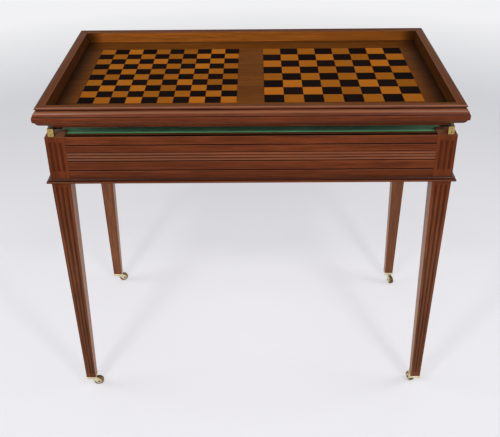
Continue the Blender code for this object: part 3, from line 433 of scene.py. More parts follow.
def polished_mahogany(name, grain, tones, sheen, sizes, upper=None):
    """Mahogany, planed, stained and rubbed with a thin French polish.

    The tones are dark, middle, light and worn, and go over to the upper ones up a leg. Broad
    ribbons and fine streaks run along the grain axis, and dark pores lie in them. Painted shade
    and old wax darken the hollows, and the worn tone lightens the arrises and gives the painted
    highlights.
    The thin polish gives lamps a soft highlight and hides little of the colour.
    """
    made, add, shader = new_material(name)
    place = add("TexCoord", output="Object")
    if upper:
        height = add("SeparateXYZ", (place,), "Z")
        climb = add("MapRange", (height, WAIST_Z * LEG_DARKENING_SHARE, WAIST_Z))
        tones = [add("Mix", {0: climb, 6: low, 7: high}, data_type="RGBA")
                 for low, high in zip(tones, upper)]
    dark, middle, light, worn = tones
    scale = [GRAIN_STRETCH if axis == grain else 1.0 for axis in "xyz"]
    along = add("Mapping", {"Vector": place, "Scale": scale})
    figure = add("TexNoise", {"Vector": along, "Scale": 1 / sizes.figure, "Detail": 3.0,
                              "Roughness": 0.55, "Distortion": 0.5})
    streak = add("TexNoise", {"Vector": along, "Scale": 1 / sizes.streak, "Detail": 4.0,
                              "Roughness": 0.62, "Distortion": 0.2})
    pore = add("TexNoise", {"Vector": along, "Scale": 1 / sizes.pore, "Detail": 2.0,
                            "Roughness": 0.6})
    line = add("MapRange", (streak, 0.32, 0.68))
    ribbon = add("MapRange", (figure, 0.36, 0.64))
    fleck = add("MapRange", (pore, 0.52, 0.68, 0.0, 0.6))
    hollow, arris = relief_shares(add)
    layers = (
        (add("Math", (ribbon, line), operation="MULTIPLY"), light),
        (fleck, dark),
        # The hollow layer is painted shade with old wax, and the arris layer is wear and painted
        # highlight
        (add("Math", (hollow, 0.95), operation="MULTIPLY"), linear("140805")),
        (add("Math", (arris, 0.5), operation="MULTIPLY"), worn),
    )
    colour = add("Mix", {0: line, 6: dark, 7: middle}, data_type="RGBA")
    for share, tone in layers:
        colour = add("Mix", {0: share, 6: colour, 7: tone}, data_type="RGBA")
    feed(shader, {
        "Base Color": colour,
        "Roughness": add("MapRange", (line, 0.0, 1.0, 0.28, 0.19)),
        "Normal": add("Bump", {"Strength": 0.25, "Distance": PORE_DEPTH, "Height": pore}),
        "Specular IOR Level": sheen,
    })
    return made


def inlaid_squares(name, centre, square, satinwood, ebony, sizes):
    """Sawn veneer squares of satinwood and ebony, laid in turn, scraped and polished.

    Each square has a tone of its own and a grain that starts anew, and a dark line of glue
    parts it from the next. The line is as coarse as it needs to be to show.
    """
    made, add, shader = new_material(name)
    place = add("TexCoord", output="Object")
    count = add("Mapping", {"Vector": place, "Scale": (1 / square, 1 / square, 0.0),
                            "Location": (-centre[0] / square, -centre[1] / square, 0.0)})
    cell = add("VectorMath", (count,), operation="FLOOR")
    total = add("Math", add("SeparateXYZ", (cell,)).node.outputs[:2], operation="ADD")
    light = add("Math", (total, 2.0), operation="FLOORED_MODULO")
    chance = add("TexWhiteNoise", {"Vector": cell}).node.outputs
    start = add("VectorMath", {0: chance["Color"], 3: GRAIN_SHIFT}, operation="SCALE")
    started = add("VectorMath", (place, start), operation="ADD")
    along = add("Mapping", {"Vector": started, "Scale": (VENEER_STRETCH, 1.0, 1.0)})
    streak = add("TexNoise", {"Vector": along, "Scale": 1 / sizes.streak, "Detail": 4.0,
                              "Roughness": 0.6})
    tone = add("Math", (streak, chance["Value"]), operation="ADD")
    shade = add("MapRange", (tone, 0.3, 1.7, 0.66, 1.34))
    pair = add("Mix", {0: light, 6: ebony, 7: satinwood}, data_type="RGBA")
    varied = add("Mix", {0: 1.0, 6: pair, 7: shade}, data_type="RGBA", blend_type="MULTIPLY")
    rest = add("VectorMath", (count,), operation="FRACTION")
    middle = add("VectorMath", (rest, (0.5, 0.5, 0.0)), operation="SUBTRACT")
    away = add("VectorMath", (middle,), operation="ABSOLUTE")
    far = add("Math", add("SeparateXYZ", (away,)).node.outputs[:2], operation="MAXIMUM")
    joint = add("Math", (far, 0.5 - GLUE_WIDTH / 2 / square), operation="GREATER_THAN")
    feed(shader, {
        "Base Color": add("Mix", {0: joint, 6: varied, 7: linear("22130B")}, data_type="RGBA"),
        "Roughness": add("MapRange", (streak, 0.0, 1.0, 0.34, 0.46)),
        "Normal": add("Bump", {"Strength": 0.15, "Distance": VENEER_RELIEF, "Height": streak}),
        "Specular IOR Level": 0.001,
    })
    return made


def woollen_baize(name, colour):
    """Baize, woven wool with a raised and shorn nap: matt, with a soft sheen and small clouds.

    The nap is fine fibre, and the clouds are where hands and pieces have brushed it.
    """
    made, add, shader = new_material(name)
    place = add("TexCoord", output="Object")
    fibre = add("TexNoise", {"Vector": place, "Scale": 1 / FIBRE_WIDTH, "Detail": 3.0,
                             "Roughness": 0.7})
    cloud = add("TexNoise", {"Vector": place, "Scale": 1 / CLOUD_WIDTH, "Detail": 2.0})
    tone = add("Math", (fibre, cloud), operation="ADD")
    shade = add("MapRange", (tone, 0.6, 1.4, 0.7, 1.3))
    feed(shader, {
        "Base Color": add("Mix", {0: 1.0, 6: colour, 7: shade}, data_type="RGBA",
                          blend_type="MULTIPLY"),
        "Roughness": 0.95,
        "Normal": add("Bump", {"Strength": 0.5, "Distance": NAP_DEPTH, "Height": fibre}),
        "Sheen Weight": 0.15,
        "Sheen Roughness": 0.5,
    })
    return made


def worn_metal(name, colour, dirt, roughness, grain):
    """Cast or turned metal, polished and then handled for years.

    It is bright on the arrises and dull in patches, where a film of wax and tarnish stays.
    """
    made, add, shader = new_material(name)
    place = add("TexCoord", output="Object")
    patch = add("TexNoise", {"Vector": place, "Scale": 1 / grain, "Detail": 4.0,
                             "Roughness": 0.65})
    fine = add("TexNoise", {"Vector": place, "Scale": 1 / SCRATCH_WIDTH, "Detail": 2.0})
    film = add("MapRange", (patch, 0.48, 0.72, 0.0, 0.7))
    hollow, arris = relief_shares(add)
    covered = add("Math", (film, hollow), operation="MAXIMUM")
    left = add("Math", (covered, arris), operation="SUBTRACT", use_clamp=True)
    feed(shader, {
        "Base Color": add("Mix", {0: left, 6: colour, 7: dirt}, data_type="RGBA"),
        "Roughness": add("MapRange", (left, 0.0, 1.0, roughness, roughness + 0.3)),
        "Normal": add("Bump", {"Strength": 0.2, "Distance": SCRATCH_DEPTH, "Height": fine}),
        "Metallic": 1.0,
    })
    return made


def numbered_wheel_wood(name, wood, colours):
    """The wheel head's mahogany with a lacquered number ring in red, black and one green.

    The ring lies between two radii, and the angle picks the field. A brass line parts the
    fields and edges the ring.
    """
    made = wood.copy()
    made.name = name
    add = partial(node, made.node_tree)
    shader = made.node_tree.nodes["Principled BSDF"]
    ground = shader.inputs["Base Color"].links[0].from_socket
    place = add("TexCoord", output="Object")
    x, y = add("SeparateXYZ", (place,)).node.outputs[:2]
    angle = add("Math", (y, x), operation="ARCTAN2")
    field = add("Math", (angle, POCKET_COUNT / math.tau), operation="MULTIPLY")
    whole = add("Math", (field,), operation="FLOOR")
    rest = add("Math", (field,), operation="FRACT")
    middle = add("Math", (rest, 0.5), operation="SUBTRACT")
    away = add("Math", (middle,), operation="ABSOLUTE")
    rule_share = RULE_WIDTH / 2 * POCKET_COUNT / (math.tau * pocket_radii()[0])
    layers = (
        (add("Math", (whole, 2.0), operation="FLOORED_MODULO"), linear("15110F")),
        (add("Math", (whole, 0.0, 0.5), operation="COMPARE"), linear("1F5A36")),
        (add("Math", (away, 0.5 - rule_share), operation="GREATER_THAN"), colours.brass),
    )
    lacquer = linear("7A1B14")
    for share, tone in layers:
        lacquer = add("Mix", {0: share, 6: lacquer, 7: tone}, data_type="RGBA")
    flat = add("VectorMath", (place, (1.0, 1.0, 0.0)), operation="MULTIPLY")
    radius = add("VectorMath", (flat,), operation="LENGTH")
    outer = HEAD_HIGH[0] - NUMBERS_FROM_RIM
    inner = pocket_radii()[0] + NUMBERS_FROM_POCKETS
    inside, field_inside = [
        add("Math", (radius, (outer + inner) / 2, (outer - inner) / 2 - width),
            operation="COMPARE") for width in (0.0, RULE_WIDTH)]
    edged = add("Mix", {0: field_inside, 6: colours.brass, 7: lacquer}, data_type="RGBA")
    feed(shader, {"Base Color": add("Mix", {0: inside, 6: ground, 7: edged},
                                    data_type="RGBA")})
    return made


def studio_paper(name, near_colour, far_colour, wall_colour):
    """Plain background paper, rolled and matt, which keeps the shadow of the table.

    Half of what the camera and the polished surfaces see of it is a tone of its own, as
    of paper lit by itself, and further away it goes over to that tone whole. The tone runs
    from near_colour through far_colour, a painted shade of the lamps' falloff and of the table's
    shadow behind it, to wall_colour, a painted light, by the distance from the middle.
    """
    made, add, shader = new_material(name)
    place = add("TexCoord", output="Object")
    away = add("VectorMath", (place,), operation="LENGTH")
    cloud = add("TexNoise", {"Vector": place, "Scale": 1 / PAPER_CLOUD_WIDTH, "Detail": 1.0})
    shade = add("MapRange", (cloud, 0.0, 1.0, 0.985, 1.015))
    feed(shader, {
        "Base Color": add("Mix", {0: 1.0, 6: near_colour, 7: shade}, data_type="RGBA",
                          blend_type="MULTIPLY"),
        "Roughness": 0.9,
        "Specular IOR Level": 0.1,
    })
    tone = near_colour
    for reach, colour in ((SHADED_FLOOR_REACH, far_colour), (LIT_WALL_REACH, wall_colour)):
        share = add("MapRange", (away, *reach))
        tone = add("Mix", {0: share, 6: tone, 7: colour}, data_type="RGBA")
    ray = add("LightPath").node.outputs
    seen = ray["Is Camera Ray"]
    for kind in ("Is Glossy Ray", "Is Transmission Ray"):
        seen = add("Math", (seen, ray[kind]), operation="ADD", use_clamp=True)
    fade = add("MapRange", (away, *GLOW_REACH, 0.48), interpolation_type="SMOOTHSTEP")
    share = add("Math", (seen, fade), operation="MULTIPLY")
    both = add("MixShader", (share, shader.outputs["BSDF"], add("Emission", (tone, 1.0))))
    feed(made.node_tree.nodes["Material Output"], {"Surface": both})
    return made


def quarter(start, end, count, leaves_first):
    """Points of a quarter ellipse after its start: one way runs as sin t, the other as 1 - cos t.

    With leaves_first the first coordinate runs as sin t.
    """
    t = np.linspace(0, math.pi / 2, count + 1)[1:]
    early = np.sin(t)
    late = 1 - np.cos(t)
    first, second = (early, late) if leaves_first else (late, early)
    return np.column_stack((start[0] + (end[0] - start[0]) * first,
                            start[1] + (end[1] - start[1]) * second))


def swelling(start, end, swell, count):
    """Points after the start on a straight run that swells to its left by swell sin(pi t)."""
    start = np.asarray(start)
    run = np.asarray(end) - start
    t = np.linspace(0, 1, count + 1)[1:, None]
    left = np.array((-run[1], run[0])) / np.linalg.norm(run)
    return start + run * t + left * swell * np.sin(math.pi * t)


def softened(outline, cut, steps=4, closed=True):
    """Round the corners of an outline, and tell how far each point stands out.

    Near a corner c, with a and b a cut away from it along its two edges, the outline follows
    (1 - t)^2 a + 2t(1 - t) c + t^2 b. A cut takes no more than a share of an edge. A point a
    little further back on each edge holds the flat beside it. A point stands out by 4t(1 - t)
    of the corner's turn over a right angle, less than 0 in a hollow.
    """
    outline = np.asarray(outline, dtype=float)
    back = np.roll(outline, 1, axis=0) - outline
    ahead = np.roll(outline, -1, axis=0) - outline
    back_length = np.linalg.norm(back, axis=1, keepdims=True)
    ahead_length = np.linalg.norm(ahead, axis=1, keepdims=True)
    back = back / back_length
    ahead = ahead / ahead_length
    back_cut = np.minimum(cut, MOST_CUT_SHARE * back_length)
    ahead_cut = np.minimum(cut, MOST_CUT_SHARE * ahead_length)
    start = outline + back * back_cut
    end = outline + ahead * ahead_cut
    t = np.linspace(0, 1, steps + 1)[None, :, None]
    curve = (1 - t) ** 2 * start[:, None] + 2 * t * (1 - t) * outline[:, None] \
        + t ** 2 * end[:, None]
    before = (outline + back * back_cut * HELD_SHARE)[:, None]
    after = (outline + ahead * ahead_cut * HELD_SHARE)[:, None]
    points = np.concatenate((before, curve, after), axis=1)
    turn = np.arctan2(-back[:, 0] * ahead[:, 1] + back[:, 1] * ahead[:, 0],
                      -(back * ahead).sum(axis=1))
    area = np.sum(outline[:, 0] * np.roll(outline[:, 1], -1)
                  - outline[:, 1] * np.roll(outline[:, 0], -1))
    bulge = np.concatenate(([0], (4 * t * (1 - t)).ravel(), [0]))
    relief = np.sign(area) * turn[:, None] / (math.pi / 2) * bulge[None, :]
    group = points.shape[1]
    points = points.reshape(-1, 2)
    relief = relief.ravel()
    if not closed:
        points = np.vstack((outline[:1], points[group:-group], outline[-1:]))
        relief = np.concatenate(([0], relief[group:-group], [0]))
    return points, relief


def turned(angle, axis="Z"):
    """A turn about an axis through the origin."""
    return Matrix.Rotation(angle, 4, axis)


def shifted(x, y, z):
    """A move without a turn."""
    return Matrix.Translation((x, y, z))


def moved(points, matrix):
    """Points turned and moved by a 4 by 4 matrix."""
    return points @ np.array(matrix.to_3x3()).T + np.array(matrix.translation)


def around(radius, height, t):
    """The points (r cos t, r sin t, z), with a row for each height."""
    level = np.repeat(height[:, None], len(t), axis=1)
    return np.stack((radius * np.cos(t), radius * np.sin(t), level), axis=-1)


def revolved(profile, steps, relief, ring, matrix):
    """A turned surface: a profile point (r, z) goes once round as (r cos t, r sin t, z).

    A ring's profile is closed. Any other starts and ends on the axis.
    """
    t = np.linspace(0, math.tau, steps, endpoint=False)
    points = moved(around(profile[:, :1], profile[:, 1], t), matrix)
    return Patch(points, (ring, True), False, np.repeat(relief[:, None], steps, axis=1))


def lathed(outline, cut, steps, rounding=4, ring=True, matrix=Matrix()):
    """A turned surface whose outline has its corners rounded."""
    profile, relief = softened(outline, cut, rounding, ring)
    return revolved(profile, steps, relief, ring, matrix)


def sharp_lathed(outline, steps, matrix=Matrix()):
    """A turned surface with its outline as it is, from the axis and back to it."""
    return revolved(np.array(outline), steps, np.zeros(len(outline)), False, matrix)


def slab(outline, low, high, edge, matrix, steps=3):
    """A flat piece whose two rims are quarter rounds.

    Its outline is drawn in by edge (1 - cos t) while its height runs over edge sin t.
    """
    outline = np.asarray(outline)
    along = np.roll(outline, -1, axis=0) - np.roll(outline, 1, axis=0)
    outward = np.column_stack((along[:, 1], -along[:, 0]))
    outward /= np.linalg.norm(outward, axis=1, keepdims=True)
    t = np.linspace(0, math.pi / 2, steps + 1)
    inset = edge * (1 - np.cos(t))
    rise = edge * np.sin(t)
    insets = np.concatenate((inset[::-1], inset))
    heights = np.concatenate((low + edge - rise[::-1], high - edge + rise))
    flat = outline[None] - outward[None] * insets[:, None, None]
    upright = np.repeat(heights[:, None, None], len(outline), axis=1)
    points = moved(np.concatenate((flat, upright), axis=2), matrix)
    bulge = np.concatenate((np.sin(2 * t)[::-1], np.sin(2 * t)))
    return Patch(points, (False, True), True, np.repeat(bulge[:, None], len(outline), axis=1))


def mirrored(half):
    """Half an outline, in points (r, z), and its mirror image in z = 0."""
    return [*half, *((r, -z) for r, z in reversed(half))]


def rounded_rectangle(length, width, radius):
    """The outline of a rectangle about the origin with rounded corners, anticlockwise."""
    corners = np.array([(1, 1), (-1, 1), (-1, -1), (1, -1)]) * (length / 2, width / 2)
    return softened(corners, radius)[0]


def built(name, patches, *materials):
    """Make one object of its patches, with its finishes.

    Where it has several finishes, a patch's zone tells which one a row or a column of its
    faces takes.
    """
    points = []
    faces = []
    relief = []
    finish = []
    count = 0
    for patch in patches:
        rows, columns = patch.points.shape[:2]
        index = np.arange(rows * columns).reshape(rows, columns) + count
        count += rows * columns
        if patch.caps:
            faces += [index[0, ::-1].tolist(), index[-1].tolist()]
            finish += [0, 0]
        if patch.closed[0]:
            index = np.vstack((index, index[:1]))
        if patch.closed[1]:
            index = np.hstack((index, index[:, :1]))
        quads = np.stack((index[:-1, :-1], index[:-1, 1:], index[1:, 1:], index[1:, :-1]), axis=-1)
        faces += quads.reshape(-1, 4).tolist()
        finish += np.broadcast_to(patch.zone, quads.shape[:2]).ravel().tolist()
        points.append(patch.points.reshape(-1, 3))
        relief.append(patch.relief.ravel())
    mesh = bpy.data.meshes.new(name)
    mesh.from_pydata(np.concatenate(points).tolist(), [], faces)
    mesh.polygons.foreach_set("material_index", finish)
    values = mesh.attributes.new("relief", "FLOAT", "POINT")
    values.data.foreach_set("value", np.concatenate(relief).astype(np.float32))
    bm = bmesh.new()
    bm.from_mesh(mesh)
    bmesh.ops.remove_doubles(bm, verts=bm.verts, dist=MERGE_DISTANCE)
    bmesh.ops.recalc_face_normals(bm, faces=bm.faces)
    bm.to_mesh(mesh)
    bm.free()
    mesh.shade_smooth()
    mesh.set_sharp_from_angle(angle=math.radians(SHARP_ANGLE))
    for item in materials:
        mesh.materials.append(item)
    made = bpy.data.objects.new(name, mesh)
    bpy.context.scene.collection.objects.link(made)
    return made


def piece(name, patches, materials, body, slot, *nodes):
    """Make one piece of its patches, and give it its body and the CAD nodes it replaces."""
    made = built(name, patches, *(materials if isinstance(materials, tuple) else (materials,)))
    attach(made, body)
    if nodes:
        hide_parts(*nodes)


def finish_node(name, material):
    """Give a CAD node whose shape is right its finish."""
    item = frame["nodes"][name]
    item.data.materials.clear()
    item.data.materials.append(material)


def wax_and_shade_near_walls(material):
    """Darken a wood towards the tray's walls, most at the short ends, with painted shade and old
    wax.
    """
    add = partial(node, material.node_tree)
    shader = material.node_tree.nodes["Principled BSDF"]
    ground = shader.inputs["Base Color"].links[0].from_socket
    away = add("VectorMath", (add("TexCoord", output="Object"),), operation="ABSOLUTE")
    x, y = add("SeparateXYZ", (away,)).node.outputs[:2]
    end = SIDE_HIGH[0] - BAND_REACH - RIM_WIDTH - WALL_SLOPE
    side = end - HALF_LENGTH + HALF_DEPTH
    # Painted shade of the walls, with old wax, in the dark colour below
    end_shade = add("MapRange", (x, end - END_SHADE_START, end - END_SHADE_END, 0.0, 0.88),
                 interpolation_type="SMOOTHSTEP")
    side_shade = add("MapRange", (y, side - SIDE_SHADE_START, side, 0.0, 0.25),
                  interpolation_type="SMOOTHSTEP")
    share = add("Math", (end_shade, side_shade), operation="MAXIMUM")
    feed(shader, {"Base Color": add("Mix", {0: share, 6: ground, 7: linear("1C0E07")},
                                    data_type="RGBA")})
    return material


def mahogany(name, grain, colour, spread, sheen):
    """A mahogany of one colour with its grain along one axis, made once."""
    full_name = "polished_mahogany_" + name + "_" + grain
    sizes = bpy.context.scene.games_table_sizes
    return bpy.data.materials.get(full_name) or polished_mahogany(
        full_name, grain, wood_tones(colour, spread), sheen, sizes)


def case_wood(grain):
    """The outer mahogany, red and streaky."""
    return mahogany("case", grain, bpy.context.scene.games_table_colours.case, 1.65, 0.07)


def tray_woods(side):
    """The finishes of a tray side: outside, wall, rim and the lip's edge.

    The walls are one veneer, with painted light on the long sides and painted shade on the short
    ones.
    The rim is browner than the outside and dull. The lip's edge is painted near black as shade,
    but for the front one.
    """
    colours = bpy.context.scene.games_table_colours
    grain = SIDES[side][0]
    if grain == "x":
        wall = bpy.data.materials.get("wall_shaded_mahogany") or wax_and_shade_near_walls(
            mahogany("lit_long_wall", "x", colours.lit_long_wall, 1.4, 0.01))
        wall.name = "wall_shaded_mahogany"
    else:
        wall = mahogany("shaded_end_wall", "y", colours.shaded_end_wall, 1.3, 0.01)
    rim = mahogany("rim", grain, colours.rim, 1.3, 0.01)
    # The lip's edge on the back and ends is painted near black as shade
    edge = case_wood(grain) if side == "front" else mahogany("edge", grain, linear("1E110B"),
                                                             1.2, 0.02)
    return case_wood(grain), wall, rim, edge


def leg_wood():
    """The legs' mahogany with an upright grain, going over to the case's darker colour up towards
    the waist and on the posts.
    """
    sizes = bpy.context.scene.games_table_sizes
    colours = bpy.context.scene.games_table_colours
    return polished_mahogany("polished_mahogany_legs", "z", wood_tones(colours.leg, 1.6), 0.04,
                             sizes, wood_tones(colours.case, 1.4))


def metal(name, colour, dirt, roughness, grain):
    """A worn metal, made once."""
    return bpy.data.materials.get(name) or worn_metal(name, colour, linear(dirt), roughness,
                                                      grain)


def brass():
    """Cast brass, filed and polished."""
    return metal("polished_cast_brass", bpy.context.scene.games_table_colours.brass, "6B4E22",
                 0.22, 0.006)


def steel():
    """Turned steel, left bright and gone brown."""
    return metal("turned_steel", bpy.context.scene.games_table_colours.steel, "241C17", 0.32,
                 0.004)


def leg_section(samples):
    """The section of a leg in shares of its width, from its outer faces inwards.

    Returns the two shares, the outer face that a flute is cut into and how light each point is:
    painted light most on the inner side face, less on the inner face to the front or back, a
    little wear on the other corners, and painted shade on the outer corner. The corners are
    quarter rounds.
    """
    low = CORNER_SHARE
    high = 1 - low
    near = low * 1.4
    plain = np.array([low, near, 0.5, 1 - near, high])
    fluted = np.concatenate(([low, near], samples, [1 - near, high]))
    t = np.linspace(0, math.pi / 2, 6)[1:-1]

    def corner(a, b, turn):
        return a + low * np.cos(t + turn), b + low * np.sin(t + turn)

    # The last number of each run is its wear and painted light: painted light on the inner faces,
    # painted shade on the outer corner
    runs = [
        (fluted, 0 * fluted, 2, 0),
        (*corner(high, low, -math.pi / 2), 0, 0.3),
        (0 * plain + 1, plain, 0, 1),
        (*corner(high, high, 0), 0, 0.3),
        (plain[::-1], 0 * plain + 1, 0, 0.4),
        (*corner(low, high, math.pi / 2), 0, 0.1),
        (0 * fluted, fluted[::-1], 1, 0),
        (*corner(low, low, math.pi), 0, -0.3),
    ]
    return np.hstack([(a, b, 0 * a + face, 0 * a + wear) for a, b, face, wear in runs])


def leg_patch(corner, sizes):
    """A leg as a function of height and of the way round its section.

    The section is square, 1 at the post and less at the foot. A flute cuts it by
    sqrt(r^2 - d^2 - e^2) - s, with d the distance from the flute's line, e the distance past
    its end, r its radius and s its sink.
    """
    edge_share = sizes.flute_radius * math.sqrt(1 - sizes.flute_sink ** 2)
    across = np.concatenate((-FLUTE_STEP_SHARES[::-1], [0], FLUTE_STEP_SHARES))
    samples = (0.5 + FLUTE_SHARES[:, None] + across[None] * edge_share).ravel()
    share_x, share_y, face, wear_and_painted_light = leg_section(samples)
    post_top = RAIL_TOP_Z - POST_FLUTE_TOP
    runs = [(FOOT_Z + LEG_FLUTE_FOOT, WAIST_Z - LEG_FLUTE_TOP),
            (post_top - POST_FLUTE_LENGTH, post_top)]
    reach = POST_WIDTH * edge_share
    ends = np.concatenate([np.linspace(end - reach * 1.2, end + reach * 1.2, 15)
                           for run in runs for end in run])
    edge = sizes.arris
    t = np.linspace(0, math.pi / 2, 5)
    rim = edge * (1 - np.sin(t))
    height = np.unique(np.concatenate((
        FOOT_Z + rim, ends, np.linspace(FOOT_Z + edge * 2, WAIST_Z, 12),
        [RAIL_TOP_Z - edge * 2], RAIL_TOP_Z - rim)).round(7))
    way = np.clip((WAIST_Z - height) / (WAIST_Z - FOOT_Z), 0, 1)[:, None]
    width = POST_WIDTH + (sizes.foot_width - POST_WIDTH) * way
    inset = FOOT_INSET * way
    radius = width * sizes.flute_radius
    place = np.where(face == 2, share_x, share_y)[None]
    cut = np.zeros((len(height), len(face)))
    for share in FLUTE_SHARES:
        off = (place - 0.5 - share) * width
        for low, high in runs:
            past = np.maximum(np.maximum(low - height, height - high), 0)[:, None]
            depth = np.sqrt(np.maximum(radius ** 2 - off ** 2 - past ** 2, 0))
            cut = np.maximum(cut, depth - radius * sizes.flute_sink)
    cut = np.where(face[None] > 0, cut, 0)
    near = np.minimum(np.minimum(height - FOOT_Z, RAIL_TOP_Z - height), edge)
    drawn = edge - np.sqrt(np.maximum(edge ** 2 - (edge - near) ** 2, 0))
    shrink = 1 - 2 * drawn[:, None] / width
    a, b = [(share[None] - 0.5) * shrink + 0.5 + (face == side)[None] * cut / width
            for share, side in ((share_x, 1), (share_y, 2))]
    points = np.stack((corner[0] * (HALF_LENGTH - inset - width * a),
                       corner[1] * (HALF_DEPTH - inset - width * b),
                       np.repeat(height[:, None], len(face), axis=1)), axis=-1)
    deepest = radius * (1 - sizes.flute_sink)
    # Flutes take painted shade by their depth, and the leg's rounded ends are worn lighter
    relief = (wear_and_painted_light[None] - cut / deepest * FLUTE_SHADE
              + np.where(drawn[:, None] > 0, LEG_END_RUBBED, 0))
    return Patch(points, (False, True), True, relief)


def strip(profile, relief, side, sign, half_x, half_y, mitred, trim, zone=0):
    """A moulding along one side of a rectangle: each profile point (out, up) runs straight.

    Where it is mitred, a point that lies further out also runs further along.
    """
    out = profile[:, 0]
    run = (half_x if side == "x" else half_y) - trim + (out if mitred else 0 * out)
    across = sign * ((half_y if side == "x" else half_x) + out)
    up = profile[:, 1]
    along = np.stack((-run, run))
    level = np.stack((across, across))
    order = (along, level) if side == "x" else (level, along)
    points = np.stack((*order, np.stack((up, up))), axis=-1)
    return Patch(points, (False, True), True, np.stack((relief, relief)), zone)


def apron_outline(sizes):
    """An apron's section as (out, up): scores, quirks and reeds, then the hidden back."""
    height = RAIL_TOP_Z - WAIST_Z
    centre = height - REED_CENTRE_DROP
    top = centre + REED_GROUP_HEIGHT / 2
    reed = REED_GROUP_HEIGHT / REED_COUNT
    t = np.linspace(0, math.pi, 11)[1:]
    bow = np.column_stack((sizes.reed_depth * (np.sin(t) - 1), -reed * (1 - np.cos(t)) / 2))
    reeds = np.concatenate([bow + (0, top - reed * index) for index in range(REED_COUNT)])
    score = np.array([(0, SCORE_WIDTH / 2), (-sizes.score_depth, 0), (0, -SCORE_WIDTH / 2)])
    back = -APRON_THICKNESS
    return np.concatenate((
        [(0, height)],
        score + (0, centre + SCORE_RISE),
        [(0, top + QUIRK_WIDTH), (-sizes.reed_depth, top)],
        reeds,
        [(0, top - REED_GROUP_HEIGHT - QUIRK_WIDTH)],
        score + (0, centre - SCORE_FALL),
        [(0, 0), (back, 0), (back, GROOVE_RISE), (back + GROOVE_DEPTH, GROOVE_RISE),
         (back + GROOVE_DEPTH, GROOVE_RISE + GROOVE_HEIGHT), (back, GROOVE_RISE + GROOVE_HEIGHT),
         (back, height - LEDGE_DROP), (back + LEDGE_WIDTH, height - LEDGE_DROP),
         (back + LEDGE_WIDTH, height)],
    )) + (0, WAIST_Z)


def apron_painted_light(outline, sizes):
    """What painted light adds to an apron's relief: painted shade in the scores and at the foot,
    and painted highlights on the reeds.
    """
    rise = outline[:, 1] - WAIST_Z
    depth = np.clip(outline[:, 0] / sizes.score_depth, -1, 0)
    centre = RAIL_TOP_Z - WAIST_Z - REED_CENTRE_DROP
    reeds = np.abs(rise - centre) < REED_GROUP_HEIGHT / 2
    foot = np.clip(1 - rise / FOOT_SHADE_REACH, 0, 1)
    return depth * SCORE_SHADE + np.where(reeds, (1 + depth) * REED_HIGHLIGHT, 0) - foot * FOOT_SHADE


def waist_outline():
    """The waist moulding's section as (out, up): a hollow between two fillets."""
    height = WAIST_HIGH[2] - WAIST_Z
    reach = WAIST_HIGH[0] - HALF_LENGTH
    top = (WAIST_EDGE, height)
    return np.concatenate((
        [top],
        quarter(top, (reach, WAIST_FILLET), 10, False),
        [(reach, 0), (GAP, 0), (GAP, height)],
    )) + (0, WAIST_Z)


def tray_outline():
    """A tray side's section as (out, up), from its lip outwards, under, and up its wall."""
    top = TRAY_TOP_Z
    quirk = (-QUIRK_SINK, top - QUIRK_DROP - QUIRK_HEIGHT)
    band_foot = (BAND_REACH, top - BAND_TOP_DROP - BAND_HEIGHT)
    bead_foot = (BAND_REACH - BEAD_SINK, band_foot[1] - BEAD_HEIGHT)
    step = (bead_foot[0] - BEAD_STEP, bead_foot[1])
    wall = -RIM_WIDTH - WALL_SLOPE
    return np.concatenate((
        [(-LIP_WIDTH / 2, top)],
        quarter((-LIP_WIDTH / 2, top), (0, top - LIP_HEIGHT), 6, True),
        [(-QUIRK_SINK, top - QUIRK_DROP), quirk],
        swelling(quirk, (OVOLO_REACH, top - OVOLO_DROP), OVOLO_SWELL, 12),
        [(BAND_REACH, top - BAND_TOP_DROP), band_foot],
        quarter(band_foot, bead_foot, 8, False),
        [step],
        swelling(step, (-UNDERCUT, TRAY_Z), UNDERCUT_SWELL, 8),
        [(wall, TRAY_Z), (wall, TRAY_FLOOR_Z), (-RIM_WIDTH, top - LIP_RISE),
         (-LIP_WIDTH, top - LIP_RISE)],
    ))


def tray_zones(outline):
    """Which finish a tray side's faces take: outside 0, wall 1, rim 2 or the lip's edge 3, painted
    dark as shade but at the front.
    """
    out, up = ((outline + np.roll(outline, -1, axis=0)) / 2).T
    wall = (out < -RIM_WIDTH) & (up > TRAY_FLOOR_Z)
    high = up > TRAY_TOP_Z - LIP_HEIGHT
    rim = high & (out < -LIP_WIDTH)
    lip = high & (out > -LIP_WIDTH * LIP_EDGE_SHARE)
    return np.select([lip, rim, wall], [3, 2, 1], 0)


def tray_painted_light(outline):
    """What painted light adds to a tray side's relief.

    The lip and the slope's crown get painted highlights, and the line over the band gets painted
    shade, each by exp(-(d / s)^2) with d the distance from its line and s its spread. The quirk
    and what lies under the band's middle get painted shade too.
    """
    fall = TRAY_TOP_Z - outline[:, 1]
    outside = outline[:, 0] > -QUIRK_SINK - GAP
    lip = np.exp(-(fall / LIP_HIGHLIGHT_SPREAD) ** 2) * (outline[:, 0] > -LIP_WIDTH / 2 - GAP)
    crown = np.exp(-((fall - CROWN_HIGHLIGHT_DROP) / CROWN_HIGHLIGHT_SPREAD) ** 2) * outside
    parting_shade = np.exp(-((fall - OVOLO_DROP) / PARTING_SHADE_SPREAD) ** 2) * outside
    quirk = outside & (fall > QUIRK_DROP - GAP) & (fall < QUIRK_DROP + QUIRK_HEIGHT + GAP)
    under = outside & (fall > BAND_TOP_DROP + BAND_HEIGHT * BAND_LIGHT_SHARE)
    return (crown * CROWN_HIGHLIGHT + lip * LIP_HIGHLIGHT - quirk * QUIRK_SHADE
            - parting_shade * PARTING_SHADE - under * UNDER_BAND_SHADE)


def pocket_radii():
    """The outer and inner radius of the ring of pockets."""
    outer = HEAD_HIGH[0] - NUMBER_RING_WIDTH
    return outer, outer - POCKET_WIDTH


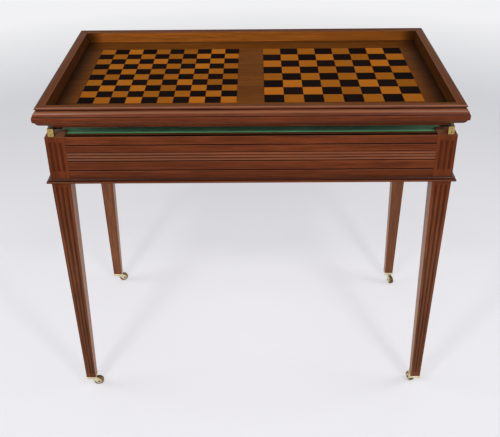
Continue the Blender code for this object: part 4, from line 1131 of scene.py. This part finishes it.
def cloth_patch():
    """The cloth as a function of the angle t and of the way round its section.

    Its outer edge is the union of two rectangles, which leaves the posts' corners out: in a
    rectangle a by b the edge lies at 1 / max(|cos t| / a, |sin t| / b). Its inner edge is a
    circle round the bowl.
    """
    low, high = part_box("baize_field")
    wide = (high[0] - CLOTH_MARGIN, HALF_DEPTH - POST_WIDTH - GAP)
    deep = (HALF_LENGTH - POST_WIDTH - GAP, high[1] - CLOTH_MARGIN)
    inside = (deep[0], wide[1])
    turns = np.concatenate([np.arctan2(b * np.array((1, 1, -1, -1)), a * np.array((1, -1, 1, -1)))
                            for a, b in (wide, deep, inside)])
    t = np.unique(np.concatenate((np.linspace(-math.pi, math.pi, 240, endpoint=False),
                                  turns)).round(9))
    reach = np.max([1 / np.maximum(np.abs(np.cos(t)) / a, np.abs(np.sin(t)) / b)
                    for a, b in (wide, deep)], axis=0)
    bore = np.full_like(t, BOWL_HIGH[0] - BOWL_FLANGE + GAP)
    thick = high[2] - low[2]
    radius = np.stack((bore, bore, reach - thick / 2, reach, reach))
    height = np.array((low[2], high[2], high[2], high[2] - thick / 2, low[2]))
    return Patch(around(radius, height, t), (True, True), False, np.zeros(radius.shape))


def bowl_outline():
    """The bowl's section as (radius, height): rim, seat, foot, well, slope and ball track."""
    rim = BOWL_HIGH[0]
    rim_z = BOWL_HIGH[2]
    low = BOWL_LOW[2]
    inner = rim - RIM_BAND
    body = rim - BOWL_FLANGE
    track_z = rim_z - TRACK_DROP
    well_top = track_z - SLOPE_DROP
    shoulder = (body, well_top)
    track = (inner - TRACK_WIDTH, track_z)
    return np.concatenate((
        [(rim, rim_z), (rim, rim_z - BOWL_SEAT_RISE), (body, rim_z - BOWL_SEAT_RISE), shoulder],
        quarter(shoulder, (BOWL_FOOT_RADIUS, low), 8, False),
        [(BOWL_BORE, low), (BOWL_BORE, well_top - WELL_DEPTH),
         (WELL_RADIUS, well_top - WELL_DEPTH), (WELL_RADIUS, well_top), track],
        quarter(track, (inner, track_z + TRACK_DROP / 2), 6, True),
        [(inner, rim_z)],
    ))


def head_outline():
    """The wheel head's section as (radius, height): number ring, channel, cone and hub.

    The cone falls from the hub as (1 - t) to the cone's power.
    """
    rim = HEAD_HIGH[0]
    rim_z = BOWL_HIGH[2] - TRACK_DROP - SLOPE_DROP - HEAD_SINK
    outer, inner = pocket_radii()
    top = rim_z - NUMBER_RING_FALL
    hub = (HUB_TOP_RADIUS, HEAD_HIGH[2])
    foot = (HUB_RADIUS, top + CONE_RISE)
    t = np.linspace(0, 1, 10)[1:-1]
    cone = np.column_stack((foot[0] + (inner - foot[0]) * t,
                            top + CONE_RISE * (1 - t) ** CONE_POWER))
    return np.concatenate((
        [(rim, rim_z), (rim, rim_z - HEAD_RIM_HEIGHT), (HEAD_CORE_RADIUS, HEAD_LOW[2]),
         (HEAD_BORE, HEAD_LOW[2]), (HEAD_BORE, HEAD_HIGH[2]), hub],
        quarter(hub, foot, 8, False),
        cone,
        [(inner, top), (inner, top - POCKET_DEPTH), (outer, top - POCKET_DEPTH), (outer, top)],
    ))


def fret_patches(edge):
    """The channel of the pockets as a ring, and a thin upright fret between each two."""
    outer = pocket_radii()[0] - GAP
    inner = pocket_radii()[1] + GAP
    low = FRET_LOW[2]
    top = FRET_HIGH[2]
    floor = low + FRET_WALL
    outline = [(outer, top), (outer, low), (inner, low), (inner, top), (inner + FRET_WALL, top),
               (inner + FRET_WALL, floor), (outer - FRET_WALL, floor), (outer - FRET_WALL, top)]
    length = outer - inner - FRET_WALL
    blade = rounded_rectangle(length, FRET_THICKNESS, FRET_THICKNESS * 0.3)
    middle = shifted((outer + inner) / 2, 0, 0)
    frets = [slab(blade, floor - FRET_WALL / 2, top - GAP, FRET_THICKNESS * 0.3,
                  turned(math.tau * index / POCKET_COUNT) @ middle, 2)
             for index in range(POCKET_COUNT)]
    return [lathed(outline, edge / 2, 148, 2), *frets]


def turret_patches(edge):
    """The turned turret, and four turned arms laid level on it, each ending in a ball."""
    base = TURRET_LOW[2]
    top = TURRET_HIGH[2]
    arm_z = base + (top - base) * ARM_HEIGHT_SHARE
    outline = np.concatenate((
        [(0, top)],
        quarter((0, top), (KNOB_RADIUS, top - KNOB_RADIUS), 8, True),
        quarter((KNOB_RADIUS, top - KNOB_RADIUS),
                (NECK_RADIUS / 2, top - 2 * KNOB_RADIUS + ARM_RADIUS / 2), 6, False),
        [(BOSS_RADIUS, arm_z + ARM_RADIUS), (BOSS_RADIUS, arm_z - ARM_RADIUS),
         (NECK_RADIUS, arm_z - 2 * ARM_RADIUS), (NECK_RADIUS, base + ARM_BALL_RADIUS)],
        quarter((NECK_RADIUS, base + ARM_BALL_RADIUS),
                (TURRET_BASE_RADIUS, base + ARM_RADIUS / 2), 6, False),
        [(TURRET_BASE_RADIUS, base), (0, base)],
    ))
    ball = TURRET_HIGH[0] - ARM_BALL_RADIUS
    neck = math.asin(ARM_RADIUS / ARM_BALL_RADIUS)
    t = np.linspace(0, math.pi - neck, 14)
    arm = np.concatenate((
        np.column_stack((ARM_BALL_RADIUS * np.sin(t), ball + ARM_BALL_RADIUS * np.cos(t))),
        [(ARM_RADIUS, BOSS_RADIUS / 2), (0, BOSS_RADIUS / 2)],
    ))
    arms = [sharp_lathed(arm, 24, shifted(0, 0, arm_z) @ turned(math.tau * index / ARM_COUNT)
                         @ turned(math.pi / 2, "Y")) for index in range(ARM_COUNT)]
    return [lathed(outline, edge, 64, 3, False), *arms]


def deflector_patch(index):
    """A boat-shaped stud on the bowl's slope: an ellipse that swells as the root of 1 - u^2.

    They lie in turn along the slope and across it.
    """
    track = BOWL_HIGH[0] - RIM_BAND - TRACK_WIDTH
    slope = math.atan2(SLOPE_DROP, track - WELL_RADIUS)
    radius = (track + WELL_RADIUS) / 2
    u = np.linspace(-1, 1, 17)
    t = np.linspace(0, math.tau, 16, endpoint=False)
    swell = np.sqrt(1 - u ** 2)[:, None]
    points = np.stack((np.repeat(u[:, None], len(t), axis=1) * DEFLECTOR_LENGTH / 2,
                       swell * np.cos(t) * DEFLECTOR_WIDTH / 2,
                       swell * np.sin(t) * DEFLECTOR_HEIGHT), axis=-1)
    height = BOWL_HIGH[2] - TRACK_DROP - SLOPE_DROP / 2
    matrix = (turned(math.tau * (index + 0.5) / DEFLECTOR_COUNT) @ shifted(radius, 0, height)
              @ turned(-slope, "Y") @ turned(math.pi / 2 * (index % 2)))
    return Patch(moved(points, matrix), (False, True), False, np.zeros(points.shape[:2]))


def castor_angle(name):
    """Where a castor's joints are in plan, and the angle at which it trails."""
    swivel = JOINTS["castor_swivel_" + name]["pos_m"]
    centre = JOINTS["castor_roll_" + name]["pos_m"]
    return swivel, centre, math.atan2(centre[1] - swivel[1], centre[0] - swivel[0])


def cheek_outline(trail, crown_low, crown_top):
    """A fork cheek from the side: from under the crown down round the eye of the axle."""
    back = -CROWN_RADIUS / 2
    t = math.radians(225) + np.linspace(0, math.pi, 13)
    eye = np.column_stack((trail + CHEEK_EYE_RADIUS * np.cos(t),
                           WHEEL_RADIUS + CHEEK_EYE_RADIUS * np.sin(t)))
    outline = np.concatenate(([(back, (crown_low + crown_top) / 2), (back / 2, crown_low)], eye,
                              [(CROWN_RADIUS * 0.8, crown_top - GAP), (back, crown_top - GAP)]))
    return softened(outline, CHEEK_ROUNDING, 3)[0]


def fork_patches(name, edge):
    """A castor's fork: a turned stem and domed crown, and two cheeks that reach the axle."""
    swivel, centre, angle = castor_angle(name)
    trail = math.hypot(centre[0] - swivel[0], centre[1] - swivel[1])
    matrix = shifted(*swivel[:2], 0) @ turned(angle)
    crown_top = PLATE_LOW[2] - GAP
    crown_low = crown_top - CROWN_THICKNESS
    stem_top = FOOT_Z + STEM_REACH
    outline = [(0, stem_top), (STEM_RADIUS, stem_top), (STEM_RADIUS, crown_top),
               (CROWN_RADIUS, crown_top), (CROWN_RADIUS, crown_low), (0, crown_low)]
    inner = WHEEL_WIDTH / 2 + CHEEK_GAP
    cheek = cheek_outline(trail, crown_low, crown_top)
    cheeks = [slab(cheek, *sorted((side * inner, side * (inner + CHEEK_THICKNESS))), edge,
                   matrix @ turned(math.pi / 2, "X")) for side in (-1, 1)]
    return [lathed(outline, edge * 2, 40, 4, False, matrix), *cheeks]


def wheel_matrix(name):
    """Where a castor wheel stands, with its axle level."""
    _, centre, angle = castor_angle(name)
    return shifted(*centre[:2], WHEEL_RADIUS) @ turned(angle) @ turned(math.pi / 2, "X")


class GAMES_TABLE_OT_legs(bpy.types.Operator):
    """Make the four fluted legs"""

    bl_idname = "games_table.legs"
    bl_label = "Legs"

    def execute(self, context):
        sizes = context.scene.games_table_sizes
        wood = leg_wood()
        for name, corner in CORNERS.items():
            piece("fluted_leg_" + name, [leg_patch(corner, sizes)], wood, "table", "mahogany",
                  "leg_" + name)
        return {"FINISHED"}


class GAMES_TABLE_OT_case(bpy.types.Operator):
    """Make the aprons and the waist moulding, and finish the boards in the box"""

    bl_idname = "games_table.case"
    bl_label = "Aprons, waist and boards"

    def execute(self, context):
        sizes = context.scene.games_table_sizes
        colours = context.scene.games_table_colours
        apron, apron_relief = softened(apron_outline(sizes), sizes.arris * 0.6)
        apron_relief += apron_painted_light(apron, sizes)
        waist, waist_relief = softened(waist_outline(), sizes.arris)
        # Painted shade in the waist moulding's hollow
        waist_relief -= np.where(waist[:, 1] > WAIST_Z + WAIST_FILLET, WAIST_HOLLOW_SHADE, 0)
        half_x = HALF_LENGTH - APRON_RECESS
        half_y = HALF_DEPTH - APRON_RECESS
        for name, (side, sign) in SIDES.items():
            wood = case_wood(side)
            piece("reeded_apron_" + name,
                  [strip(apron, apron_relief, side, sign, half_x, half_y, False,
                         POST_WIDTH - APRON_RECESS + GAP)],
                  wood, "table", "mahogany", "apron_" + name)
            piece("waist_" + name,
                  [strip(waist, waist_relief, side, sign, HALF_LENGTH, HALF_DEPTH, True, GAP)],
                  wood, "table", "mahogany", "waist_moulding_" + name)
        finish_node("bottom_board", case_wood("x"))
        finish_node("playing_board", mahogany("board", "x", colours.board, 1.4, 0.01))
        piece("baize_cloth", [cloth_patch()], woollen_baize("woollen_baize", colours.baize),
              "table", "baize", "baize_field")
        return {"FINISHED"}


class GAMES_TABLE_OT_tray(bpy.types.Operator):
    """Make the tray's mitred sides, and finish its panel and its two inlaid boards"""

    bl_idname = "games_table.tray"
    bl_label = "Tray and boards"

    def execute(self, context):
        sizes = context.scene.games_table_sizes
        colours = context.scene.games_table_colours
        half_x = SIDE_HIGH[0] - BAND_REACH
        half_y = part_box("tray_side_right")[1][1] - BAND_REACH
        outline, relief = softened(tray_outline(), sizes.arris)
        relief += tray_painted_light(outline)
        zones = tray_zones(outline)
        for name, (side, sign) in SIDES.items():
            piece("moulded_side_" + name,
                  [strip(outline, relief, side, sign, half_x, half_y, True, GAP, zones)],
                  tray_woods(name), "tray", "mahogany", "tray_side_" + name)
        finish_node("tray_panel", wax_and_shade_near_walls(
            mahogany("tray_field", "x", colours.field, 1.5, 0.002)))
        finish_node("tray_underboard", case_wood("x"))
        for name, squares in (("draughts_board", 10), ("chess_board", 8)):
            low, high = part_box(name)
            centre = ((low[0] + high[0]) / 2, (low[1] + high[1]) / 2)
            finish_node(name, inlaid_squares("satinwood_and_ebony_" + name, centre,
                                             (high[0] - low[0]) / squares, colours.satinwood,
                                             colours.ebony, sizes))
        return {"FINISHED"}


class GAMES_TABLE_OT_sockets(bpy.types.Operator):
    """Make the tray's steel pins and the screws of the brass sockets"""

    bl_idname = "games_table.sockets"
    bl_label = "Sockets and pins"

    def execute(self, context):
        sizes = context.scene.games_table_sizes
        x = (SOCKET_LOW[0] + SOCKET_HIGH[0]) / 2
        y = -(SOCKET_LOW[1] + SOCKET_HIGH[1]) / 2
        collar_low = SOCKET_HIGH[2] + GAP
        tip = collar_low - PIN_TANG_LENGTH + GAP
        outline = [(0, TRAY_Z + PIN_STEM_LENGTH), (PIN_RADIUS, TRAY_Z + PIN_STEM_LENGTH),
                   (PIN_RADIUS, TRAY_Z - GAP), (PIN_COLLAR_RADIUS, TRAY_Z - GAP),
                   (PIN_COLLAR_RADIUS, collar_low), (PIN_RADIUS, collar_low),
                   (PIN_RADIUS, tip + PIN_NOSE), (PIN_RADIUS - PIN_NOSE, tip), (0, tip)]
        for name, corner in CORNERS.items():
            pin = lathed(outline, sizes.metal_edge * 0.6, 32, 3, False,
                         shifted(corner[0] * x, corner[1] * y, 0))
            piece("turned_pin_" + name, [pin], steel(), "tray", "steel", "tray_pin_" + name)
            finish_node("socket_" + name, brass())
            face = corner[1] * (y + (SOCKET_HIGH[1] - SOCKET_LOW[1]) / 2)
            head = [(0, SCREW_STAND), (SCREW_RADIUS * 0.6, SCREW_STAND),
                    (SCREW_RADIUS, 0), (SCREW_RADIUS, -SCREW_STAND), (0, -SCREW_STAND)]
            level = (SOCKET_LOW[2] + SPIGOT_LENGTH + SOCKET_HIGH[2]) / 2
            screws = [sharp_lathed(head, 20, shifted(corner[0] * x, face, level + rise)
                                   @ turned(-corner[1] * math.pi / 2, "X"))
                      for rise in (-SCREW_SPACING / 2, SCREW_SPACING / 2)]
            piece("socket_screws_" + name, screws, steel(), "table", "steel")
        return {"FINISHED"}


class GAMES_TABLE_OT_roulette(bpy.types.Operator):
    """Make the roulette bowl, the wheel head, its ring of pockets and the turret"""

    bl_idname = "games_table.roulette"
    bl_label = "Roulette bowl and wheel"

    def execute(self, context):
        sizes = context.scene.games_table_sizes
        colours = context.scene.games_table_colours
        piece("turned_bowl", [lathed(bowl_outline(), sizes.arris, 160)], case_wood("x"),
              "table", "mahogany", "wheel_bowl")
        piece("ball_deflectors", [deflector_patch(index) for index in range(DEFLECTOR_COUNT)],
              brass(), "table", "brass")
        piece("turned_head", [lathed(head_outline(), sizes.arris * 0.5, 148)],
              numbered_wheel_wood("mahogany_and_lacquered_numbers", case_wood("x"), colours),
              "roulette_wheel", "mahogany", "wheel_head")
        piece("pocket_ring", fret_patches(sizes.metal_edge), brass(), "roulette_wheel", "brass",
              "fret_ring")
        piece("turned_turret", turret_patches(sizes.metal_edge), brass(), "roulette_wheel",
              "brass", "turret")
        finish_node("spindle", steel())
        finish_node("wheel_bush", metal("turned_bronze", linear("9C7A45"), "4A341A", 0.3, 0.004))
        return {"FINISHED"}


class GAMES_TABLE_OT_castors(bpy.types.Operator):
    """Make the four castors, each a plate, a fork, an axle and a wheel"""

    bl_idname = "games_table.castors"
    bl_label = "Castors"

    def execute(self, context):
        edge = context.scene.games_table_sizes.metal_edge
        pale = metal("worn_castor_brass", context.scene.games_table_colours.castor_brass,
                     "A88A52", 0.34, 0.006)
        # The wheel's sides and tread are darker brass as painted shade
        dull = metal("shade_darkened_wheel_brass", linear("94794A"), "5A4528", 0.4, 0.004)
        shaded_tread = metal("shade_darkened_tread_brass", linear("5A4A30"), "231A14", 0.5, 0.003)
        half = WHEEL_WIDTH / 2
        side = mirrored([(WHEEL_BORE, half - WHEEL_DISH), (WHEEL_HUB_RADIUS, half - WHEEL_DISH),
                         (WHEEL_HUB_RADIUS + WHEEL_DISH, half), (WHEEL_RADIUS, half)])
        wheel, wheel_relief = softened(side, WHEEL_CROWN, 5)
        ahead = (wheel + np.roll(wheel, -1, axis=0)) / 2
        tread = (ahead[:, 0] > WHEEL_RADIUS - WHEEL_CROWN * TREAD_SHARE).astype(int)[:, None]
        head = half + CHEEK_GAP + CHEEK_THICKNESS + GAP
        axle = mirrored([(0, head + AXLE_HEAD), (AXLE_HEAD_RADIUS, head + AXLE_HEAD),
                         (AXLE_HEAD_RADIUS, head), (AXLE_RADIUS, head)])
        length = PLATE_HIGH[0] - PLATE_LOW[0]
        plate = rounded_rectangle(length, length, edge * 2)
        for name in CORNERS:
            swivel = castor_angle(name)[0]
            matrix = wheel_matrix(name)
            piece("castor_foot_plate_" + name,
                  [slab(plate, PLATE_LOW[2], PLATE_HIGH[2], edge * 1.6,
                        shifted(*swivel[:2], 0))], pale,
                  "table", "brass", "castor_plate_" + name)
            piece("castor_horn_" + name, fork_patches(name, edge), pale,
                  "castor_fork_" + name, "brass", "castor_fork_" + name)
            piece("castor_rivet_" + name, [lathed(axle, edge, 24, 3, False, matrix)],
                  steel(), "castor_fork_" + name, "steel", "castor_axle_" + name)
            roller = revolved(wheel, 48, wheel_relief, True, matrix)._replace(zone=tread)
            piece("castor_roller_" + name, [roller], (dull, shaded_tread), "castor_wheel_" + name,
                  "castor_wheel", "castor_wheel_" + name)
        return {"FINISHED"}


class GAMES_TABLE_OT_stage(bpy.types.Operator):
    """Make the floor and backdrop, the lamps, the world and the camera"""

    bl_idname = "games_table.stage"
    bl_label = "Stage, lamps and camera"

    def execute(self, context):
        scene = context.scene
        colours = scene.games_table_colours
        t = np.linspace(0, math.pi / 2, 24)
        sweep = np.column_stack((FLOOR_RADIUS + SWEEP_RADIUS * np.sin(t),
                                 SWEEP_RADIUS * (1 - np.cos(t))))
        profile = np.concatenate(([(0, 0), (FLOOR_RADIUS / 2, 0)], sweep,
                                  [(FLOOR_RADIUS + SWEEP_RADIUS, WALL_HEIGHT)]))
        paper = studio_paper("background_paper", colours.floor, colours.shaded_far_floor, colours.wall)
        floor = built("paper_sweep", [sharp_lathed(profile, 96)], paper)

        for name, place, target, width, height, power in LAMPS:
            lamp = bpy.data.lights.new("soft_box_" + name, "AREA")
            lamp.shape = "RECTANGLE"
            lamp.size = width
            lamp.size_y = height
            lamp.energy = power
            made = bpy.data.objects.new(lamp.name, lamp)
            made.location = place
            aim = Vector(place) - Vector(target)
            made.rotation_euler = aim.to_track_quat("Z", "Y").to_euler()
            scene.collection.objects.link(made)

        world = bpy.data.worlds.new("studio_air")
        scene.world = world
        world.use_nodes = True
        feed(world.node_tree.nodes["Background"],
             {"Color": linear("F2F2F5"), "Strength": AIR_STRENGTH})

        lens = bpy.data.cameras.new("camera")
        lens.sensor_width = SENSOR_WIDTH
        lens.sensor_fit = "HORIZONTAL"
        lens.lens = LENS
        camera = bpy.data.objects.new("camera", lens)
        scene.collection.objects.link(camera)
        camera.matrix_world = (shifted(*CAMERA_PLACE) @ turned(math.radians(-CAMERA_YAW))
                               @ turned(math.radians(90 - CAMERA_PITCH), "X")
                               @ turned(math.radians(CAMERA_ROLL)))
        scene.camera = camera
        scene.view_settings.view_transform = "Standard"
        return {"FINISHED"}


OPERATORS = (
    GAMES_TABLE_OT_legs,
    GAMES_TABLE_OT_case,
    GAMES_TABLE_OT_tray,
    GAMES_TABLE_OT_sockets,
    GAMES_TABLE_OT_roulette,
    GAMES_TABLE_OT_castors,
    GAMES_TABLE_OT_stage,
)


class GAMES_TABLE_PT_pieces(bpy.types.Panel):
    """Lists the operators that make the table"""

    bl_label = "Games Table"
    bl_space_type = "VIEW_3D"
    bl_region_type = "UI"
    bl_category = "Games Table"

    def draw(self, context):
        for operator in OPERATORS:
            self.layout.operator(operator.bl_idname)


CLASSES = (GamesTableSizes, GamesTableColours, *OPERATORS, GAMES_TABLE_PT_pieces)


def register():
    for item in CLASSES:
        bpy.utils.register_class(item)
    bpy.types.Scene.games_table_sizes = PointerProperty(type=GamesTableSizes)
    bpy.types.Scene.games_table_colours = PointerProperty(type=GamesTableColours)


def unregister():
    del bpy.types.Scene.games_table_colours
    del bpy.types.Scene.games_table_sizes
    for item in reversed(CLASSES):
        bpy.utils.unregister_class(item)


def main():
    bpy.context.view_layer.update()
    register()
    bpy.ops.games_table.legs()
    bpy.ops.games_table.case()
    bpy.ops.games_table.tray()
    bpy.ops.games_table.sockets()
    bpy.ops.games_table.roulette()
    bpy.ops.games_table.castors()
    bpy.ops.games_table.stage()


if __name__ == "__main__":
    main()
